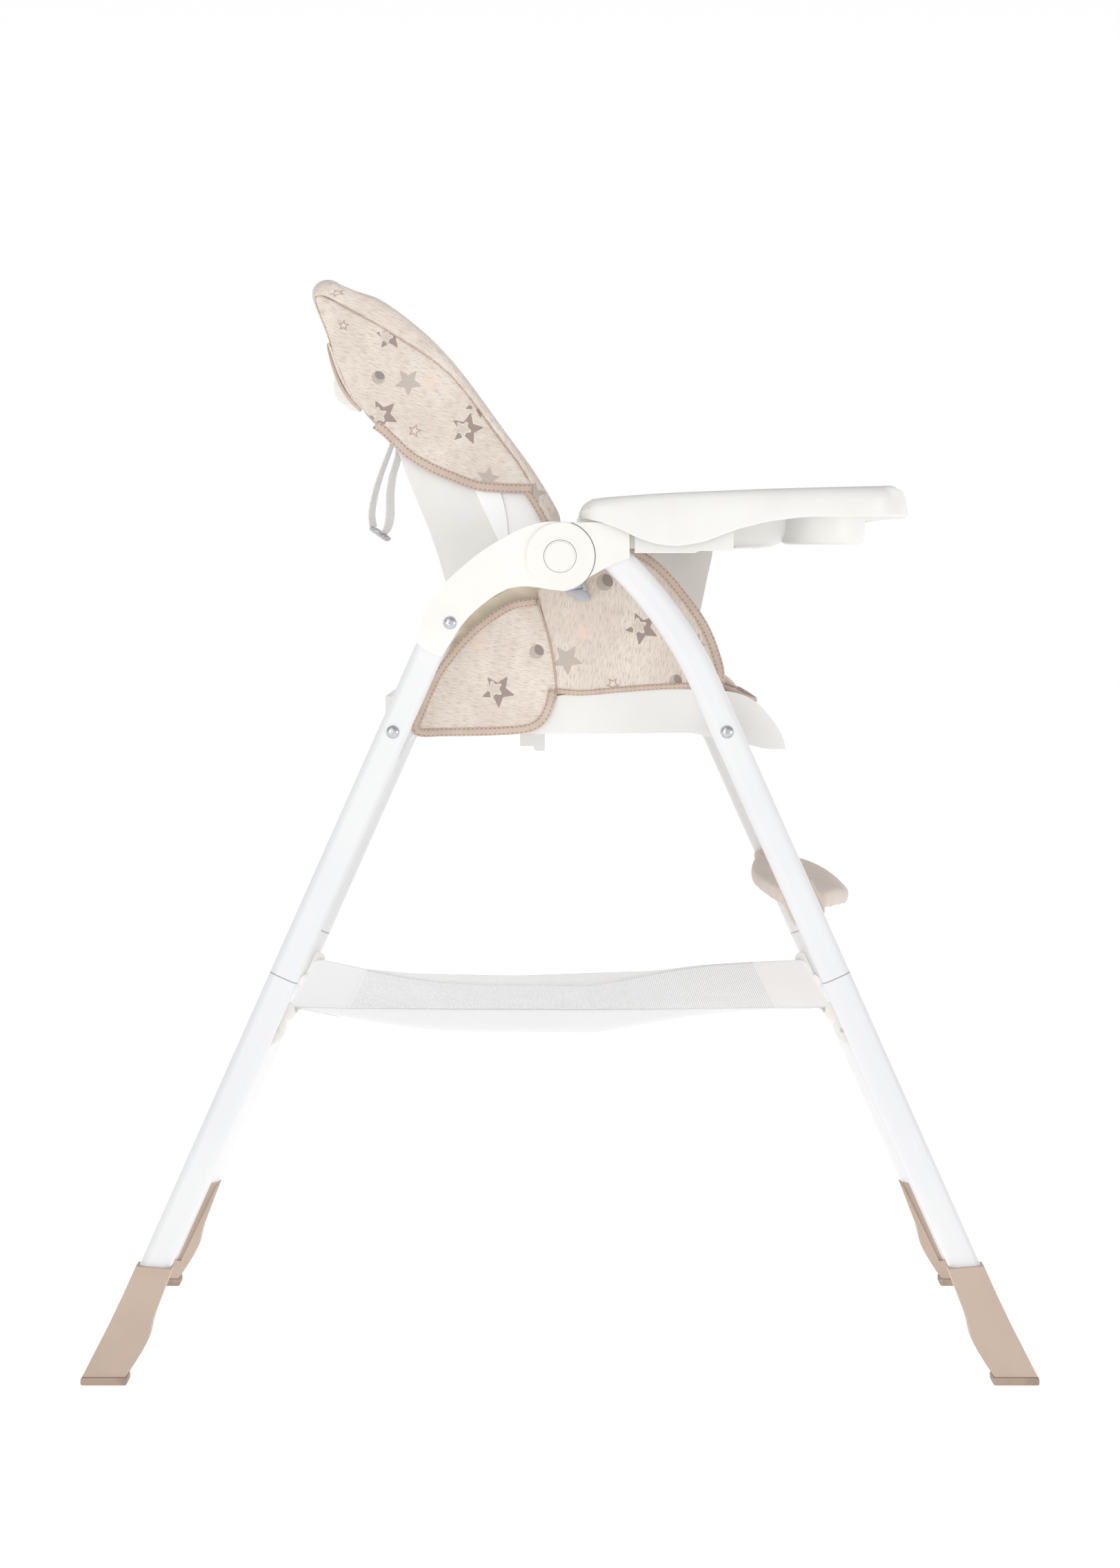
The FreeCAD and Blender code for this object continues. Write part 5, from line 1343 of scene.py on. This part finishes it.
def basket():
    """One sling: opaque hems looped round the rods, netting between, side walls turned up."""
    floor_height, near_brim, far_brim = table(BASKET_FLOOR), table(NEAR_BRIM), table(FAR_BRIM)

    def section(x):
        """Points across the sling, with their pattern position."""
        low = floor_height(x)
        row, marks = [], []
        for j in range(-18, 19):
            t = abs(j) / 18
            side = -1 if j < 0 else 1
            wall = max((near_brim if j < 0 else far_brim)(x) - low, 0.0)
            if t <= FLOOR_SHARE:
                y = mark = FLOOR_HALF * t / FLOOR_SHARE
                sag = 1 - (t / FLOOR_SHARE) ** 2
                z = low + (0.9 * noise.noise(Vector((x * 0.02, j * 0.35, 2.0))) - sag) * min(wall / 8, 1)
            else:
                k = (t - FLOOR_SHARE) / (1 - FLOOR_SHARE)
                y = FLOOR_HALF + 1.8 * ease(k) + 0.7 * math.sin(x * 0.05) * k * (wall > 2)
                z = low + wall * k
                mark = FLOOR_HALF + WALL_RUN * k
            row.append(Vector((x, side * y, z)) * MM)
            marks.append((side * mark * MM, x * MM))
        return row, marks

    rows, uv = [], []
    ends = [249, 246, 240, 233, 226, 220, 214]
    for x in [-x for x in ends] + [-208] + [-205 + 10 * i for i in range(42)] + ends[::-1]:
        row, marks = section(x)
        rows.append(row)
        uv.append(marks)

    def hem(end):
        """Round the rod and back under the sling."""
        out = []
        for k in range(1, 14):
            a = math.pi / 2 - k * math.pi / 10
            out.append((ROD_X + HEM_RADIUS * math.cos(a), ROD_Z + HEM_RADIUS * math.sin(a)))
        rolled = len(out)
        out += [(x, floor_height(end * x) - 1.0) for x in (247, 242, 236, 226, 216, 208)]
        lines = []
        for k, (x, z) in enumerate(out):
            base = rows[0 if end < 0 else -1]
            lines.append(([Vector((end * x * MM, p.y * (0.965 if k >= rolled else 1.0), z * MM)) for p in base],
                          [(m[0], end * (0.249 + 0.004 * (k + 1))) for m in uv[0 if end < 0 else -1]]))
        return lines

    left, right = hem(-1), hem(1)
    rows, uv = zip(*left[::-1], *zip(rows, uv), *right)
    sling = grid("basket_sling", rows, basket_mesh(), "front_frame", "basket_cloth", uv=uv)
    bake(thicken(sling, 0.0009))
    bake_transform(sling)
    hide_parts("basket_fabric")


basket()


# ------------------------------------------------ harness and webbing
def strap(name, points, half, thick, body, up=(0, 1, 0)):
    """Webbing through points; up is one direction, or a function of the share of the way."""
    count = 40
    path = even(catmull(points, 8), count)
    lifts = up if isinstance(up, tuple) else [up(i / (count - 1)) for i in range(count)]
    section = oval(thick / 2 * MM, half * MM, power=0.35)
    return sweep(name, path, section, WEB, body, "grey_webbing", up=lifts)


SLIDE_SLOT = "grey_plastic"


def slider(name, centre, along, across, length, width, body):
    """Three-bar slide: a rounded frame with a middle bar."""
    a, b = Vector(along).normalized(), Vector(across).normalized()
    up = tuple(a.cross(b))
    turns = [2 * math.pi * k / 32 for k in range(32)]
    corners = [centre + a * signed_power(math.cos(t), 0.35) * length / 2
               + b * signed_power(math.sin(t), 0.35) * width / 2 for t in turns]
    ring = sweep(name, corners, oval(0.0019, 0.0014, 10, 0.6), GREY, body, SLIDE_SLOT, up=up, closed=True)
    bars = [sweep(name + "_bar", [middle - b * width * 0.47, middle, middle + b * width * 0.47],
                  oval(0.0016, 0.0013, 10, 0.6), GREY, body, SLIDE_SLOT, up=up)
            for middle in (centre, centre + a * length * 0.22)]
    return joined(name, ring, *bars)


def harness():
    shoulder, pads = [], []
    for sign in (1, -1):
        path = [(44, 78), (46.5, 100), (48.2, 150), (48.6, 200), (48.6, 240), (46, 262)]
        shoulder.append(strap("strap", [back_place(x, 48 * sign, z) for x, z in path], 10, 1.6, "backrest"))
        outline = [(51.5, 153), (54, 150.5), (57, 153), (57.6, 175), (57.8, 220), (57, 241), (54, 243.5),
                   (51.5, 241)]
        pads.append(stuffed("pad", outline, 13.5, lambda x, y, z, s=sign: back_place(x, y + 48 * s, z), PAD_CLOTH,
                            "backrest", 0.003, 0.0016))
    settle(joined("shoulder_webbing", *shoulder), "shoulder_straps")
    pads = joined("shoulder_pads_stuffed", *pads)
    settle(smoothed(pads), "shoulder_pads")
    path = [(22, 690), (32, 686.5), (60, 685), (100, 683), (130, 677), (146, 668.5), (150, 663.8)]
    lap = [strap("lap", [world_place(65, sign * y, z) for y, z in path], 9, 1.5, "seat", up=(1, 0, 0))
           for sign in (1, -1)]
    path = [(74, 663.6), (75.5, 670), (75.6, 678), (74, 685), (71, 690)]
    crotch = strap("crotch", [world_place(x, 0, z) for x, z in path], 10, 1.5, "seat")
    settle(joined("lap_webbing", *lap, crotch), "lap_straps")


def hanging():
    """Loop of spare strap behind the back with its slide, and the side adjusters under the hubs."""
    outer = [(-166.2, 893), (-169, 884), (-174.5, 869), (-179.8, 854.7), (-184.2, 840), (-187.3, 826.4),
             (-188.6, 814), (-187.0, 803.5)]
    inner = [(-160.8, 883), (-162.5, 872), (-165.4, 862), (-167.6, 854.7), (-170, 836), (-170.2, 815.3),
             (-172.6, 803), (-176.5, 797)]

    def twist(low, high):
        def lift(t):
            angle = low + (high - low) * ease(t)
            return Vector((math.sin(angle), math.cos(angle), 0.1))
        return lift

    runs = [strap(name, [world_place(x, 0, z) for x, z in path], 9.6, 1.3, "backrest", up=twist(*turn))
            for name, path, turn in (("outer", outer, (0.24, 0.32)), ("inner", inner, (0.34, 0.44)))]
    settle(joined("strap_loop_webbing", *runs), "strap_loop")
    settle(slider("strap_slide", world_place(-180, 0, 796.5), (18, 0, -12.5), (0.12, 1, 0.05), 0.0185, 0.0265,
                  "backrest"), "strap_adjuster")
    made = []
    outline = [(4.5, 741), (8, 737.5), (13, 735.5), (17, 731.5), (27.5, 730.4), (28.4, 734), (26, 738.6),
               (19.5, 742), (12, 741.6), (5, 743.5)]
    for sign in (1, -1):
        y = 201.3 * sign
        made.append(slider("ring", world_place(17.5, y + 1.2 * sign, 744.4), (-0.35, 0, 1), (1, 0, 0.35), 0.0095,
                           0.0105, "seat"))
        made.append(prism("lump", [(x * MM, z * MM) for x, z in outline], (y - 3.2) * MM, (y + 3.2) * MM, GREY,
                          "seat", SLIDE_SLOT, 0.0012))
        path = [(15, 757), (16, 751), (17.5, 745), (18.5, 739), (21, 735)]
        made.append(strap("tail", [world_place(x, (199.8 - 0.6 * (z < 745)) * sign, z) for x, z in path], 4.5, 1.2,
                          "seat", up=(1, 0, 0.6)))
    settle(joined("side_slides", *made), "side_adjusters")


PAD_CLOTH = pad_print("shoulder_pad_cloth", "YZ", 11.0)
harness()
hanging()
